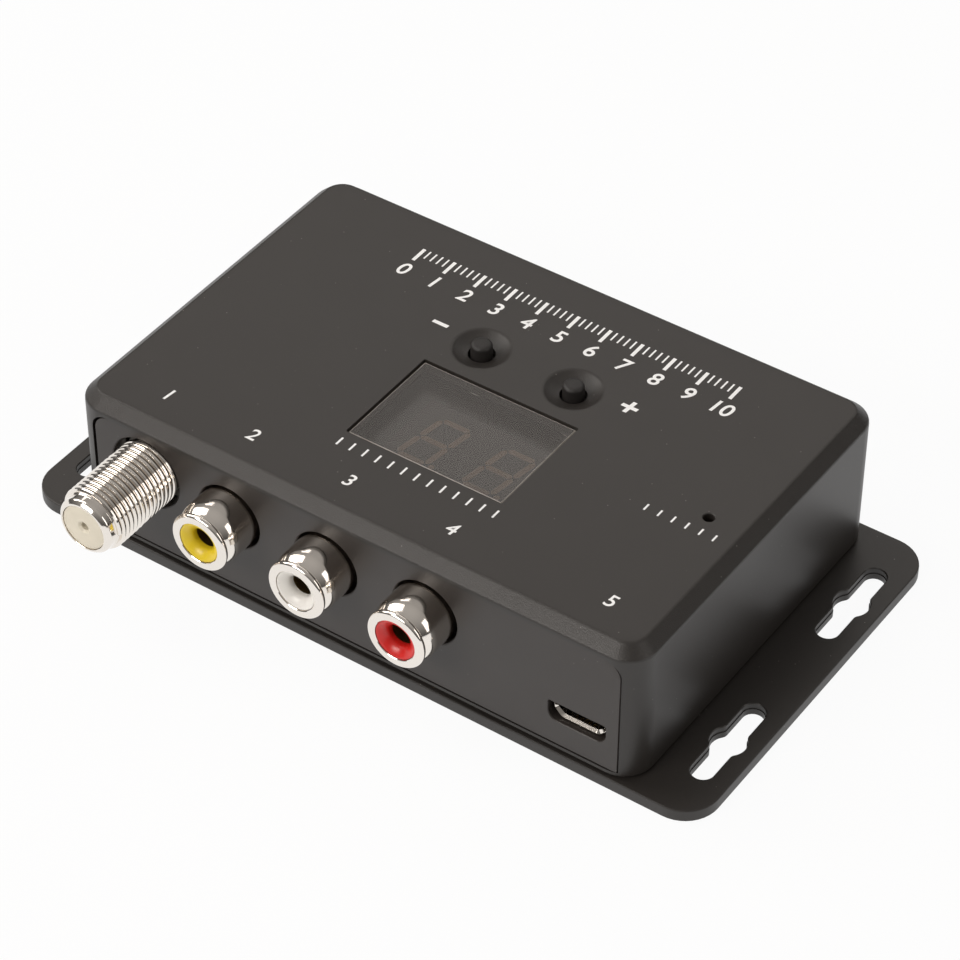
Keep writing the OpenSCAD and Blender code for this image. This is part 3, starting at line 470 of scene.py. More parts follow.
@dataclass(frozen=True)
class Finish:
    """Surface of one material slot; lengths in mm.

    Attributes:
        slot: Material slot of the record.
        colour: Base colour, linear.
        roughness: Middle roughness.
        metallic: 1 for bare metal.
        grain: Size of the surface grain.
        grain_depth: Depth of the grain.
        stretch: Stretch of the grain along X, Y and Z; above 1 makes it shorter that way.
        uneven: How far the roughness wanders.
        mottle: How far the colour wanders.
        specks: Share of pale dust specks.
        clear: Share of light that passes straight through.
        specular: Level of plain reflection.
        band: Lowest and highest Z of a zone with deeper grain.
        band_gain: How much deeper the grain is there.
        pane: Place of a painted highlight along a pane's edge.
    """

    slot: str
    colour: Triple
    roughness: float
    metallic: float = 0.0
    grain: float = 0.3
    grain_depth: float = 0.004
    stretch: Triple = (1.0, 1.0, 1.0)
    uneven: float = 0.06
    mottle: float = 0.12
    specks: float = 0.0
    clear: float = 0.0
    specular: float = 0.5
    band: Point2 | None = None
    band_gain: float = 0.0
    pane: Pane | None = None

    def material(self) -> bpy.types.Material:
        """Builds the material, or returns it if it was built before.

        Returns:
            The material.
        """
        found = bpy.data.materials.get(self.slot)
        if found is not None and found.get("finished"):
            return found
        made = bpy.data.materials.new(self.slot)
        made.name = self.slot
        made.use_nodes = True
        made["finished"] = True
        made.diffuse_color = (*self.colour, 1.0)
        tree = Tree(made.node_tree)
        place = tree.add("ShaderNodeTexCoord").outputs["Object"]
        shaped = tree.add("ShaderNodeMapping", Vector=place, Scale=self.stretch).outputs["Vector"]
        normal = {"Normal": self._bump(tree, place, shaped)} if self.grain_depth > 0 else {}
        shader = tree.add(
            "ShaderNodeBsdfPrincipled", Base_Color=self._tint(tree, place), Metallic=self.metallic,
            Roughness=self._rough(tree, shaped), Specular_IOR_Level=self.specular, **normal)
        surface = shader.outputs["BSDF"]
        if self.clear > 0:
            through = tree.add("ShaderNodeBsdfTransparent").outputs["BSDF"]
            surface = tree.add("ShaderNodeMixShader", self.clear, surface, through).outputs[0]
        tree.add("ShaderNodeOutputMaterial", Surface=surface)
        return made

    def _rough(self, tree: Tree, shaped: Value) -> bpy.types.NodeSocket:
        """Lets the roughness wander.

        Args:
            tree: Node tree.
            shaped: Stretched coordinates.

        Returns:
            The roughness.
        """
        spread = tree.add(
            "ShaderNodeMapRange", Value=tree.noise(shaped, ROUGH_PATCH, 4.0),
            To_Min=max(self.roughness - self.uneven, 0.02),
            To_Max=min(self.roughness + self.uneven, 1.0))
        return spread.outputs["Result"]

    def _tint(self, tree: Tree, place: Value) -> bpy.types.NodeSocket:
        """Lets the colour wander, and adds specks of dust and a painted highlight along the edge
        of a pane.

        Args:
            tree: Node tree.
            place: Plain coordinates.

        Returns:
            The colour.
        """
        dark, light = ((*(min(c * share, 1.0) for c in self.colour), 1.0)
                       for share in (1 - self.mottle, 1 + self.mottle))
        result = tree.mix(tree.noise(place, COLOUR_PATCH, 5.0), dark, light)
        if self.specks > 0:
            cells = tree.add("ShaderNodeTexVoronoi", Vector=place, Scale=1.0 / (DUST_PATCH * MM))
            spot = tree.add("ShaderNodeMapRange", Value=cells.outputs["Distance"],
                            From_Min=0.05, From_Max=0.02, To_Max=self.specks)
            result = tree.mix(spot.outputs["Result"], result, DUST)
        if self.pane is not None:
            # painted highlight: a pale colour on the pane's chamfered top edge stands in for the
            # light line that edge catches
            result = tree.mix(self._edge(tree, place), result, PAINTED_EDGE_HIGHLIGHT)
        return result

    def _edge(self, tree: Tree, place: Value) -> bpy.types.NodeSocket:
        """Marks the band along the pane's edge where a highlight is painted.

        Args:
            tree: Node tree.
            place: Plain coordinates.

        Returns:
            1 where the highlight is painted and 0 elsewhere.
        """
        axes = tree.add("ShaderNodeSeparateXYZ", Vector=place).outputs
        past = []
        for axis, middle, half in zip(axes, self.pane.middle, self.pane.half):
            away = tree.math("ABSOLUTE", tree.math("SUBTRACT", axis, middle * MM))
            past.append(tree.math("GREATER_THAN", away, half * MM))
        high = tree.math("GREATER_THAN", axes["Z"], self.pane.low * MM)
        return tree.math("MULTIPLY", high, tree.math("MAXIMUM", *past))

    def _bump(self, tree: Tree, place: Value, shaped: Value) -> bpy.types.NodeSocket:
        """Makes the surface grain.

        Args:
            tree: Node tree.
            place: Plain coordinates.
            shaped: Stretched coordinates.

        Returns:
            The normal.
        """
        height = tree.noise(shaped, self.grain, 3.0)
        if self.band is not None:
            height = tree.math("MULTIPLY", self._depth(tree, place), height)
        bump = tree.add("ShaderNodeBump", Strength=1.0, Distance=self.grain_depth * MM,
                        Height=height)
        return bump.outputs["Normal"]

    def _depth(self, tree: Tree, place: Value) -> bpy.types.NodeSocket:
        """Tells how deep the grain is, inside the band and outside it.

        Args:
            tree: Node tree.
            place: Plain coordinates.

        Returns:
            The depth, 1 outside the band.
        """
        level = tree.add("ShaderNodeSeparateXYZ", Vector=place).outputs["Z"]
        low, high, edge = (v * MM for v in (*self.band, BAND_EDGE))
        inside = [tree.add("ShaderNodeMapRange", Value=level, From_Min=start,
                           From_Max=end).outputs["Result"]
                  for start, end in ((low, low + edge), (high + edge, high))]
        return tree.math("MULTIPLY_ADD", tree.math("MULTIPLY", *inside), self.band_gain, 1.0)


ROUGH_PATCH = 6.0
COLOUR_PATCH = 9.0
DUST_PATCH = 1.9
BAND_EDGE = 0.06
TURNED = (1.0, 14.0, 1.0)
BRUSHED = (1.0, 9.0, 1.0)
DUST = (0.30, 0.28, 0.26, 1.0)
# colour of the painted highlight along the window pane's edge
PAINTED_EDGE_HIGHLIGHT = (0.80, 0.73, 0.65, 1.0)
FINISHES = {f.slot: f for f in (
    Finish("case_plastic", (0.024, 0.0208, 0.0185), 0.41, grain=0.17, specks=0.6, mottle=0.04,
           uneven=0.015, band=(21.95, 23.52), band_gain=9.0),
    Finish("panel_plastic", (0.030, 0.0245, 0.0215), 0.40, grain=0.20, grain_depth=0.008,
           specks=0.3, mottle=0.06),
    # the tinted window carries a painted highlight along its chamfered top edge
    Finish("tinted_window", (0.044, 0.034, 0.027), 0.18, grain_depth=0.0, clear=0.62,
           mottle=0.03, uneven=0.01, specular=1.0, pane=Pane(WINDOW_AT, (11.65, 8.275), 23.1)),
    Finish("display_face", (0.030, 0.026, 0.023), 0.65, grain_depth=0.0, mottle=0.03),
    Finish("digit_resin", (0.260, 0.170, 0.105), 0.60, grain_depth=0.0, mottle=0.05),
    Finish("button_plastic", (0.016, 0.014, 0.013), 0.48, grain=0.17, grain_depth=0.045),
    Finish("switch_plastic", (0.60, 0.57, 0.50), 0.45),
    Finish("black_plastic", (0.020, 0.018, 0.017), 0.55, grain_depth=0.0),
    Finish("circuit_board", (0.010, 0.030, 0.018), 0.50, grain_depth=0.0, mottle=0.15),
    Finish("nylon", (0.75, 0.74, 0.68), 0.40),
    Finish("lamp_resin", (0.30, 0.05, 0.04), 0.15, grain_depth=0.001),
    Finish("tinned_steel", (0.62, 0.62, 0.60), 0.30, 1.0, grain=0.12, stretch=BRUSHED),
    Finish("nickel", (0.84, 0.79, 0.73), 0.11, 1.0, grain=0.6, grain_depth=0.0006, uneven=0.03,
           mottle=0.05),
    Finish("cream_plastic", (0.74, 0.69, 0.57), 0.42, grain=0.15),
    Finish("contact_brass", (0.40, 0.29, 0.13), 0.35, 1.0, grain=0.2, stretch=TURNED),
    Finish("jack_plastic", (0.014, 0.013, 0.013), 0.30, grain=0.35, grain_depth=0.005),
    Finish("yellow_plastic", (0.80, 0.60, 0.02), 0.30, grain=0.5, grain_depth=0.003),
    Finish("white_plastic", (0.84, 0.82, 0.78), 0.30, grain=0.5, grain_depth=0.003),
    Finish("red_plastic", (0.62, 0.018, 0.014), 0.28, grain=0.5, grain_depth=0.003),
    Finish("coil_wire", (0.60, 0.25, 0.10), 0.30, 1.0, grain=0.2),
    Finish("chip_resin", (0.015, 0.015, 0.015), 0.50, grain=0.12, grain_depth=0.006),
    Finish("chip_ceramic", (0.30, 0.24, 0.17), 0.50),
    Finish("screw_steel", (0.30, 0.30, 0.31), 0.36, 1.0, grain=0.2),
    Finish("print_white", (0.93, 0.93, 0.93), 0.55, grain=0.12, grain_depth=0.003, mottle=0.05),
)}


class Body(Enum):
    """Bodies of the frame."""

    HOUSING = "housing"
    DOWN_KEY = "down_key"
    UP_KEY = "up_key"


def coat(obj: bpy.types.Object, slot: str) -> None:
    """Gives an object the finish of one slot on all its faces.

    Args:
        obj: Object with a mesh.
        slot: Material slot.
    """
    obj.data.materials.clear()
    obj.data.materials.append(FINISHES[slot].material())
    for face in obj.data.polygons:
        face.material_index = 0


def settle(obj: bpy.types.Object, slot: str, *stands_for: str, body: Body = Body.HOUSING,
           angle: float = 28.0) -> None:
    """Finishes a piece: shading, material, body and the CAD nodes that it stands for.

    Args:
        obj: The piece.
        slot: Material slot.
        *stands_for: CAD nodes that it replaces.
        body: Body that it moves with.
        angle: Angle in degrees above which edges stay sharp.
    """
    polish(obj, angle)
    coat(obj, slot)
    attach(obj, body.value)
    if stands_for:
        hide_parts(*stands_for)
    LOG.info("%s: %d faces", obj.name, len(obj.data.polygons))


class NodeGroup(Tree):
    """Geometry node group with named inputs."""

    def __init__(self, name: str, inputs: dict[str, str]) -> None:
        """Makes an empty group.

        Args:
            name: Name of the group.
            inputs: Socket type of each named input.
        """
        super().__init__(bpy.data.node_groups.new(name, "GeometryNodeTree"))
        sockets = self.tree.interface
        self.ids = {key: sockets.new_socket(key, in_out="INPUT", socket_type=kind).identifier
                    for key, kind in inputs.items()}
        sockets.new_socket("Geometry", in_out="OUTPUT", socket_type="NodeSocketGeometry")
        self.source = self.tree.nodes.new("NodeGroupInput").outputs

    def close(self, geometry: bpy.types.NodeSocket) -> None:
        """Realizes the geometry, gives it the material and sends it out.

        Args:
            geometry: Socket with the geometry.
        """
        real = self.add("GeometryNodeRealizeInstances", geometry).outputs[0]
        dressed = self.add("GeometryNodeSetMaterial", Geometry=real,
                           Material=self.source["Material"])
        self.add("NodeGroupOutput", dressed.outputs[0])

    def run(self, name: str, values: dict[str, object]) -> bpy.types.Object:
        """Evaluates the group into a plain mesh.

        Args:
            name: Name of the new object.
            values: Value of each named input.

        Returns:
            The object.
        """
        obj = new_object(name, bpy.data.meshes.new(name))
        modifier = obj.modifiers.new("nodes", "NODES")
        modifier.node_group = self.tree
        for key, value in values.items():
            modifier[self.ids[key]] = value
        return bake(obj)


def thread_group() -> NodeGroup:
    """Builds the group that sweeps a ridge along a helix round Z.

    Returns:
        The group.
    """
    group = NodeGroup("thread", {
        "Turns": "NodeSocketFloat", "Pitch": "NodeSocketFloat", "Radius": "NodeSocketFloat",
        "Depth": "NodeSocketFloat", "Steps": "NodeSocketInt", "Material": "NodeSocketMaterial"})
    src = group.source
    helix = group.add("GeometryNodeCurveSpiral", Resolution=src["Steps"], Rotations=src["Turns"],
                      Start_Radius=src["Radius"], End_Radius=src["Radius"],
                      Height=group.math("MULTIPLY", src["Turns"], src["Pitch"]))
    upright = group.add("GeometryNodeSetCurveNormal", mode="Z_UP", Curve=helix.outputs[0])
    ridge = group.add("GeometryNodeCurvePrimitiveCircle", Resolution=10, Radius=src["Depth"])
    swept = group.add("GeometryNodeCurveToMesh", Curve=upright.outputs[0],
                      Profile_Curve=ridge.outputs[0], Fill_Caps=True)
    group.close(swept.outputs[0])
    return group


def tick_group() -> NodeGroup:
    """Builds the group that sets a row of flat ticks along X.

    Returns:
        The group.
    """
    group = NodeGroup("ticks", {
        "Count": "NodeSocketInt", "Pitch": "NodeSocketFloat", "Width": "NodeSocketFloat",
        "Height": "NodeSocketFloat", "Thickness": "NodeSocketFloat",
        "Material": "NodeSocketMaterial"})
    src = group.source
    step = group.add("ShaderNodeCombineXYZ", X=src["Pitch"])
    line = group.add("GeometryNodeMeshLine", Count=src["Count"], Offset=step.outputs[0])
    size = group.add("ShaderNodeCombineXYZ", src["Width"], src["Height"], src["Thickness"])
    tick = group.add("GeometryNodeMeshCube", Size=size.outputs[0])
    row = group.add("GeometryNodeInstanceOnPoints", Points=line.outputs[0],
                    Instance=tick.outputs[0])
    group.close(row.outputs[0])
    return group


@dataclass
class Shell:
    """Upper case with its bevelled roof, openings, dimples and columns; lengths in mm."""

    length: float = 87.2
    depth: float = 57.4
    foot: float = 1.8
    roof: float = ROOF
    wall: float = 2.0
    corner: float = 4.2
    bevel_in: float = 1.75
    bevel_drop: float = 1.6
    edge: float = 0.28
    roof_rim: float = 1.2
    groove: float = 0.4
    groove_edge: float = 0.12
    opening: Outline = Outline(-40.5, 41.02, 2.75, 21.38, (0.1, 0.1, 2.6, 2.6))
    window: Outline = Outline.centred(24.1, 17.35, 0.25, WINDOW_AT)
    button_hole: float = 1.84
    dimple: float = 4.0
    dimple_ball: float = 7.4
    dimple_lip: float = 0.35
    lamp: Point2 = (36.798, -2.35)
    lamp_hole: float = 0.77
    lamp_edge: float = 0.1
    column: float = 2.8
    pilot: float = 1.09
    pilot_top: float = 9.0

    def outer(self) -> bpy.types.Object:
        """Builds the outer form.

        Returns:
            The solid.
        """
        outline = Outline.centred(self.length, self.depth, self.corner)
        lifted = self.foot + self.groove
        path = soften(
            [(self.groove, self.foot), (self.groove, lifted), (0.0, lifted),
             (0.0, self.roof - self.bevel_drop), (self.bevel_in, self.roof),
             (self.bevel_in + self.roof_rim, self.roof)],
            [0, 0, self.groove_edge, self.edge, self.edge, 0])
        return prism("case_shell", outline, Plane.TOP, path)

    def cavity(self) -> bpy.types.Object:
        """Builds the space inside, less the screw columns and their webs.

        Returns:
            The tool.
        """
        ceiling, wall = self.roof - self.wall, self.wall
        outline = Outline.centred(self.length - 2 * wall, self.depth - 2 * wall,
                                  self.corner - wall)
        room = prism("cavity", outline, Plane.TOP, [(0.0, self.foot - PAST), (0.0, ceiling)])
        posts = []
        for i, (x, y) in enumerate(CASE_SCREWS):
            post = [(self.column, self.foot), (self.column, ceiling + PAST)]
            posts.append(bar(f"post_{i}", post, Plane.TOP, (x, y), 48))
            reach = math.copysign(self.length / 2 - wall / 2, x)
            web = Outline(min(x, reach), max(x, reach), y - self.column / 2, y + self.column / 2,
                          (0.05,) * 4, 1)
            posts.append(prism(f"web_{i}", web, Plane.TOP,
                               [(0.0, self.foot), (0.0, ceiling + PAST)]))
        return carve(room, posts)

    def dimple_tool(self, name: str, at: Point2, top: float) -> bpy.types.Object:
        """Builds the tool of a dimple: a ball's cap with a rounded rim.

        Args:
            name: Name of the tool.
            at: Centre in mm.
            top: Upper end in mm.

        Returns:
            The tool.
        """
        ball, reach, steps = self.dimple_ball, self.dimple + 1.0, 12
        middle = self.roof + math.sqrt(ball**2 - self.dimple**2)
        turn = math.asin(self.dimple / ball)
        bowl = [(ball * math.sin(turn * i / steps), middle - ball * math.cos(turn * i / steps))
                for i in range(steps + 1)]
        rim = soften(bowl + [(reach, self.roof + 0.02)], [0] * steps + [self.dimple_lip, 0])
        return lathe(name, rim + [(reach, top), (0, top)], Plane.TOP, at)

    def tools(self) -> list[bpy.types.Object]:
        """Builds the solids that are cut out of the shell.

        Returns:
            The tools.
        """
        top, under = self.roof + PAST, self.roof - self.wall - PAST
        front, inside = -self.depth / 2, -self.depth / 2 + self.wall
        hole, edge = self.lamp_hole, self.lamp_edge
        found = [
            prism("mouth", self.opening, Plane.FRONT,
                  [(0.0, front - PAST), (0.0, inside + PAST / 2)]),
            prism("pane", self.window, Plane.TOP, [(0.0, under), (0.0, top)]),
            bar("lamp", [(hole, under), (hole, self.roof - edge), (hole + edge, self.roof),
                         (hole + edge + PAST, top)], Plane.TOP, self.lamp, 48),
        ]
        for i, place in enumerate(BUTTONS):
            found.append(self.dimple_tool(f"dimple_{i}", place, top))
            found.append(bar(f"key_hole_{i}", [(self.button_hole, under), (self.button_hole, top)],
                             Plane.TOP, place))
        for i, place in enumerate(CASE_SCREWS):
            pilot = [(self.pilot, self.foot - PAST), (self.pilot, self.pilot_top)]
            found.append(bar(f"pilot_{i}", pilot, Plane.TOP, place, 32))
        return found

    def build(self) -> None:
        """Builds and dresses the shell."""
        shell = carve(self.outer(), [self.cavity()])
        settle(carve(shell, self.tools()), "case_plastic", "upper_case")


@dataclass
class Plate:
    """Base plate with its flanges, slots, screw holes and pillars; lengths in mm."""

    length: float = 106.0
    depth: float = 58.2
    thick: float = 1.8
    corner: float = 5.0
    rim: float = 1.5
    edge: float = 0.22
    low_edge: float = 0.12
    slots: tuple[Point2, ...] = ((-48.8, -15.1), (48.8, -15.1), (-48.8, 15.1), (48.8, 15.1))
    slot_w: float = 3.2
    slot_len: float = 15.2
    slot_edge: float = 0.12
    bulge: float = 2.45
    blend: float = 1.0
    ledge: float = 0.1
    screw_hole: float = 1.3
    sink: float = 2.15
    sink_depth: float = 1.2
    pillars: tuple[Point2, ...] = ((-3.296, -13.75), (23.452, -13.75), (-28.01, 20.5),
                                   (28.01, 20.5))
    pillar: float = 2.4
    pillar_top: float = 5.45
    pilot: float = 1.09

    def slot_ring(self, grow: float, at: Point2, level: float) -> list[Vector]:
        """Gives the outline of a slot: a long hole whose middle opens into a round one.

        Args:
            grow: Distance outwards in mm.
            at: Centre of the slot in mm.
            level: Height in mm.

        Returns:
            The points in metres.
        """
        half, end = self.slot_w / 2 + grow, self.slot_len / 2 - self.slot_w / 2
        round_r, blend = self.bulge + grow, self.blend - grow
        cx = half + blend
        cy = math.sqrt((round_r + blend) ** 2 - cx**2)
        turn = math.atan2(cy, cx)
        middle = [(round_r * math.cos(turn * i / 8), round_r * math.sin(turn * i / 8))
                  for i in range(8)]
        neck = [(cx - blend * math.cos(turn * (1 - i / 6)),
                 cy - blend * math.sin(turn * (1 - i / 6))) for i in range(7)]
        tip = [(half * math.cos(math.pi / 20 * i), end + half * math.sin(math.pi / 20 * i))
               for i in range(10)]
        ring = []
        for sx, sy in ((1, 1), (-1, 1), (-1, -1), (1, -1)):
            quarter = [(x * sx, y * sy) for x, y in middle + neck + tip]
            if sx * sy > 0:
                ring += quarter + [(0.0, sy * (end + half))]
            else:
                ring += quarter[:0:-1] + [(sx * round_r, 0.0)]
        cleaned = [p for i, p in enumerate(ring) if math.dist(p, ring[i - 1]) > 1e-4]
        return [Plane.TOP.place(at[0] + x, at[1] + y, level) for x, y in cleaned]

    def tools(self) -> list[bpy.types.Object]:
        """Builds the solids that are cut out of the plate.

        Returns:
            The tools.
        """
        middle, top = self.thick / 2, self.thick
        rows = ((0.0, -0.6), (-self.ledge, 0.0), (-self.ledge, middle), (0.0, middle + 0.01),
                (0.0, top - self.slot_edge), (self.slot_edge, top), (0.3, top + 0.3))
        found = [loft(f"slot_{i}", [self.slot_ring(grow, at, level) for grow, level in rows])
                 for i, at in enumerate(self.slots)]
        sink = [(self.sink, -PAST / 2), (self.sink, 0.0), (self.screw_hole, self.sink_depth),
                (self.screw_hole, top + PAST / 2)]
        return found + [bar(f"sink_{i}", sink, Plane.TOP, at, 40)
                        for i, at in enumerate(CASE_SCREWS)]

    def build(self) -> None:
        """Builds and dresses the plate."""
        outline = Outline.centred(self.length, self.depth, self.corner)
        body = prism("foot_plate", outline, Plane.TOP, soften(
            [(self.rim, 0.0), (0.0, 0.0), (0.0, self.thick), (self.rim, self.thick)],
            [0, self.low_edge, self.edge, 0]))
        carve(body, self.tools())
        low = self.thick / 2 + 0.01
        tube = [(self.pilot, low), (self.pillar, low), (self.pillar, self.pillar_top),
                (self.pilot, self.pillar_top)]
        pillars = [lathe(f"pillar_{i}", tube, Plane.TOP, at, 40)
                   for i, at in enumerate(self.pillars)]
        settle(join("foot_plate", [body, *pillars]), "case_plastic", "base_plate")


@dataclass
class Panel:
    """Front panel with its round holes and the opening of the micro socket; lengths in mm."""

    outline: Outline = Outline(-40.0, 40.95, 2.9, 21.3, (0.25, 0.25, 2.45, 2.45))
    face: float = -28.6
    back: float = -26.2
    rim: float = 1.0
    edge: float = 0.05
    flange: Outline = Outline(-41.55, 41.55, 1.85, 21.55, (0.1, 0.1, 0.1, 0.1), 2)
    flange_front: float = -26.7
    flange_back: float = -25.9
    coax: Point2 = (-31.951, 14.978)
    coax_hole: float = 5.4
    jacks: tuple[Point2, ...] = ((-18.45, 14.35), (-3.146, 14.35), (12.157, 14.35))
    jack_hole: float = 4.85
    hole_edge: float = 0.15
    micro: Outline = Outline(30.675, 39.125, 6.75, 9.85, (1.5, 1.5, 0.35, 0.35))

    def build(self) -> None:
        """Builds and dresses the panel."""
        slab = prism("face_panel", self.outline, Plane.FRONT, soften(
            [(self.rim, self.face), (0.0, self.face), (0.0, self.back), (self.rim, self.back)],
            [0, self.edge, 0, 0]))
        flange = prism("panel_flange", self.flange, Plane.FRONT,
                       [(0.0, self.flange_front), (0.0, self.flange_back)])
        body = carve(slab, [flange], Cut.JOIN)
        before, behind, edge = self.face - PAST / 2, self.flange_back + PAST / 2, self.hole_edge
        holes = [(self.coax, self.coax_hole)] + [(at, self.jack_hole) for at in self.jacks]
        tools = [bar(f"hole_{i}", [(radius + edge + PAST / 2, before), (radius + edge, self.face),
                                   (radius, self.face + edge), (radius, behind)], Plane.FRONT, at)
                 for i, (at, radius) in enumerate(holes)]
        tools.append(prism("micro_hole", self.micro, Plane.FRONT, [
            (-0.6, before), (-0.1, self.face), (0.0, self.face + 0.12), (0.0, behind)]))
        settle(carve(body, tools), "panel_plastic", "front_panel")


@dataclass
class Window:
    """Tinted display window with its hidden flange; lengths in mm."""

    boss: Outline = Outline.centred(23.8, 17.05, 0.2, WINDOW_AT)
    flange: Outline = Outline.centred(26.7, 19.95, 0.3, WINDOW_AT)
    top: float = 23.35
    step: float = 21.6
    under: float = 20.8
    chamfer: float = 0.2
    rim: float = 1.0

    def build(self) -> None:
        """Builds and dresses the window."""
        boss = prism("window_pane", self.boss, Plane.TOP, [
            (0.0, self.under + 0.2), (0.0, self.top - self.chamfer), (self.chamfer, self.top),
            (self.rim, self.top)])
        flange = prism("window_rim", self.flange, Plane.TOP,
                       [(0.0, self.under), (0.0, self.step)])
        settle(carve(boss, [flange], Cut.JOIN), "tinted_window", "display_window")


@dataclass
class Key:
    """One channel button; lengths in mm."""

    name: str
    node: str
    body: Body
    at: Point2
    radius: float = 1.46
    foot: float = 17.9
    flange: float = 2.22
    flange_low: float = 20.6
    flange_high: float = 21.3
    top: float = 24.55
    crown_in: float = 0.75
    crown_drop: float = 0.07
    crown_rounds: tuple[float, ...] = (0.0, 0.55, 0.25, 0.0)

    def build(self) -> None:
        """Builds and dresses the button."""
        stem = [(0, self.foot), (self.radius, self.foot), (self.radius, self.flange_low),
                (self.flange, self.flange_low), (self.flange, self.flange_high),
                (self.radius, self.flange_high)]
        crown = soften(
            [(self.radius, self.flange_high + 0.2), (self.radius, self.top - self.crown_drop),
             (self.radius - self.crown_in, self.top), (0, self.top)], self.crown_rounds, 8)
        solid = lathe(self.name, stem + crown, Plane.TOP, self.at, 64)
        settle(solid, "button_plastic", self.node, body=self.body)


@dataclass
class Coax:
    """Threaded coaxial connector with its insulator; lengths in mm."""

    at: Point2 = (-31.601, 15.3975)
    face: float = -41.7
    thread_front: float = -40.2
    pitch: float = 0.794
    turns: float = 14.5
    turn_steps: int = 64
    crest: float = 4.7625
    ridge: float = 0.36
    root: float = 4.3
    relief: float = 0.25
    bore: float = 3.35
    face_r: float = 3.61
    nose_r: float = 4.13
    back: float = -24.35
    nut_front: float = -25.85
    nut_r: float = 5.7
    insulator_r: float = 3.3
    insulator_front: float = -41.56
    pin_hole: float = 0.6
    pin_edge: float = 0.3
    contact_room: float = 1.0
    contact_front: float = -39.98

    def thread(self) -> bpy.types.Object:
        """Sweeps the thread round the connector's axis.

        Returns:
            The ridge.
        """
        ridge = thread_group().run("thread", {
            "Turns": self.turns, "Pitch": self.pitch * MM, "Depth": self.ridge * MM,
            "Radius": (self.crest - self.ridge) * MM, "Steps": self.turn_steps,
            "Material": FINISHES["nickel"].material()})
        start = Vector((self.at[0], self.thread_front + self.pitch / 2, self.at[1])) * MM
        turn = Matrix.Rotation(-math.pi / 2, 4, "X")
        ridge.data.transform(Matrix.Translation(start) @ turn)
        return ridge

    def barrel(self) -> bpy.types.Object:
        """Builds the metal body: core, thread and nut.

        Returns:
            The solid.
        """
        profile = soften(
            [(self.bore, self.back), (self.bore, self.face), (self.face_r, self.face),
             (self.nose_r, self.face + self.nose_r - self.face_r),
             (self.nose_r, self.thread_front), (self.root, self.thread_front + self.relief),
             (self.root, self.back)],
            [0, 0.08, 0.12, 0.22, 0.05, 0.05, 0], 3)
        core = lathe("coax_core", profile, Plane.FRONT, self.at)
        nut = lathe("coax_nut", [(self.bore, self.nut_front), (self.nut_r, self.nut_front),
                                 (self.nut_r, self.back), (self.bore, self.back)],
                    Plane.FRONT, self.at, 6)
        return join("coax_barrel", [core, self.thread(), nut])

    def plug(self) -> bpy.types.Object:
        """Builds the insulator.

        Returns:
            The solid.
        """
        front = self.insulator_front
        profile = soften(
            [(self.pin_hole, self.contact_front), (self.pin_hole, front + self.pin_edge),
             (self.pin_hole + self.pin_edge, front), (self.insulator_r, front),
             (self.insulator_r, self.back), (self.contact_room, self.back),
             (self.contact_room, self.contact_front)],
            [0, 0, 0.1, 0.08, 0, 0, 0])
        return lathe("coax_plug", profile, Plane.FRONT, self.at, 64)

    def build(self) -> None:
        """Builds and dresses the connector."""
        settle(self.barrel(), "nickel", "coax_body", angle=24)
        settle(self.plug(), "cream_plastic", "coax_insulator")


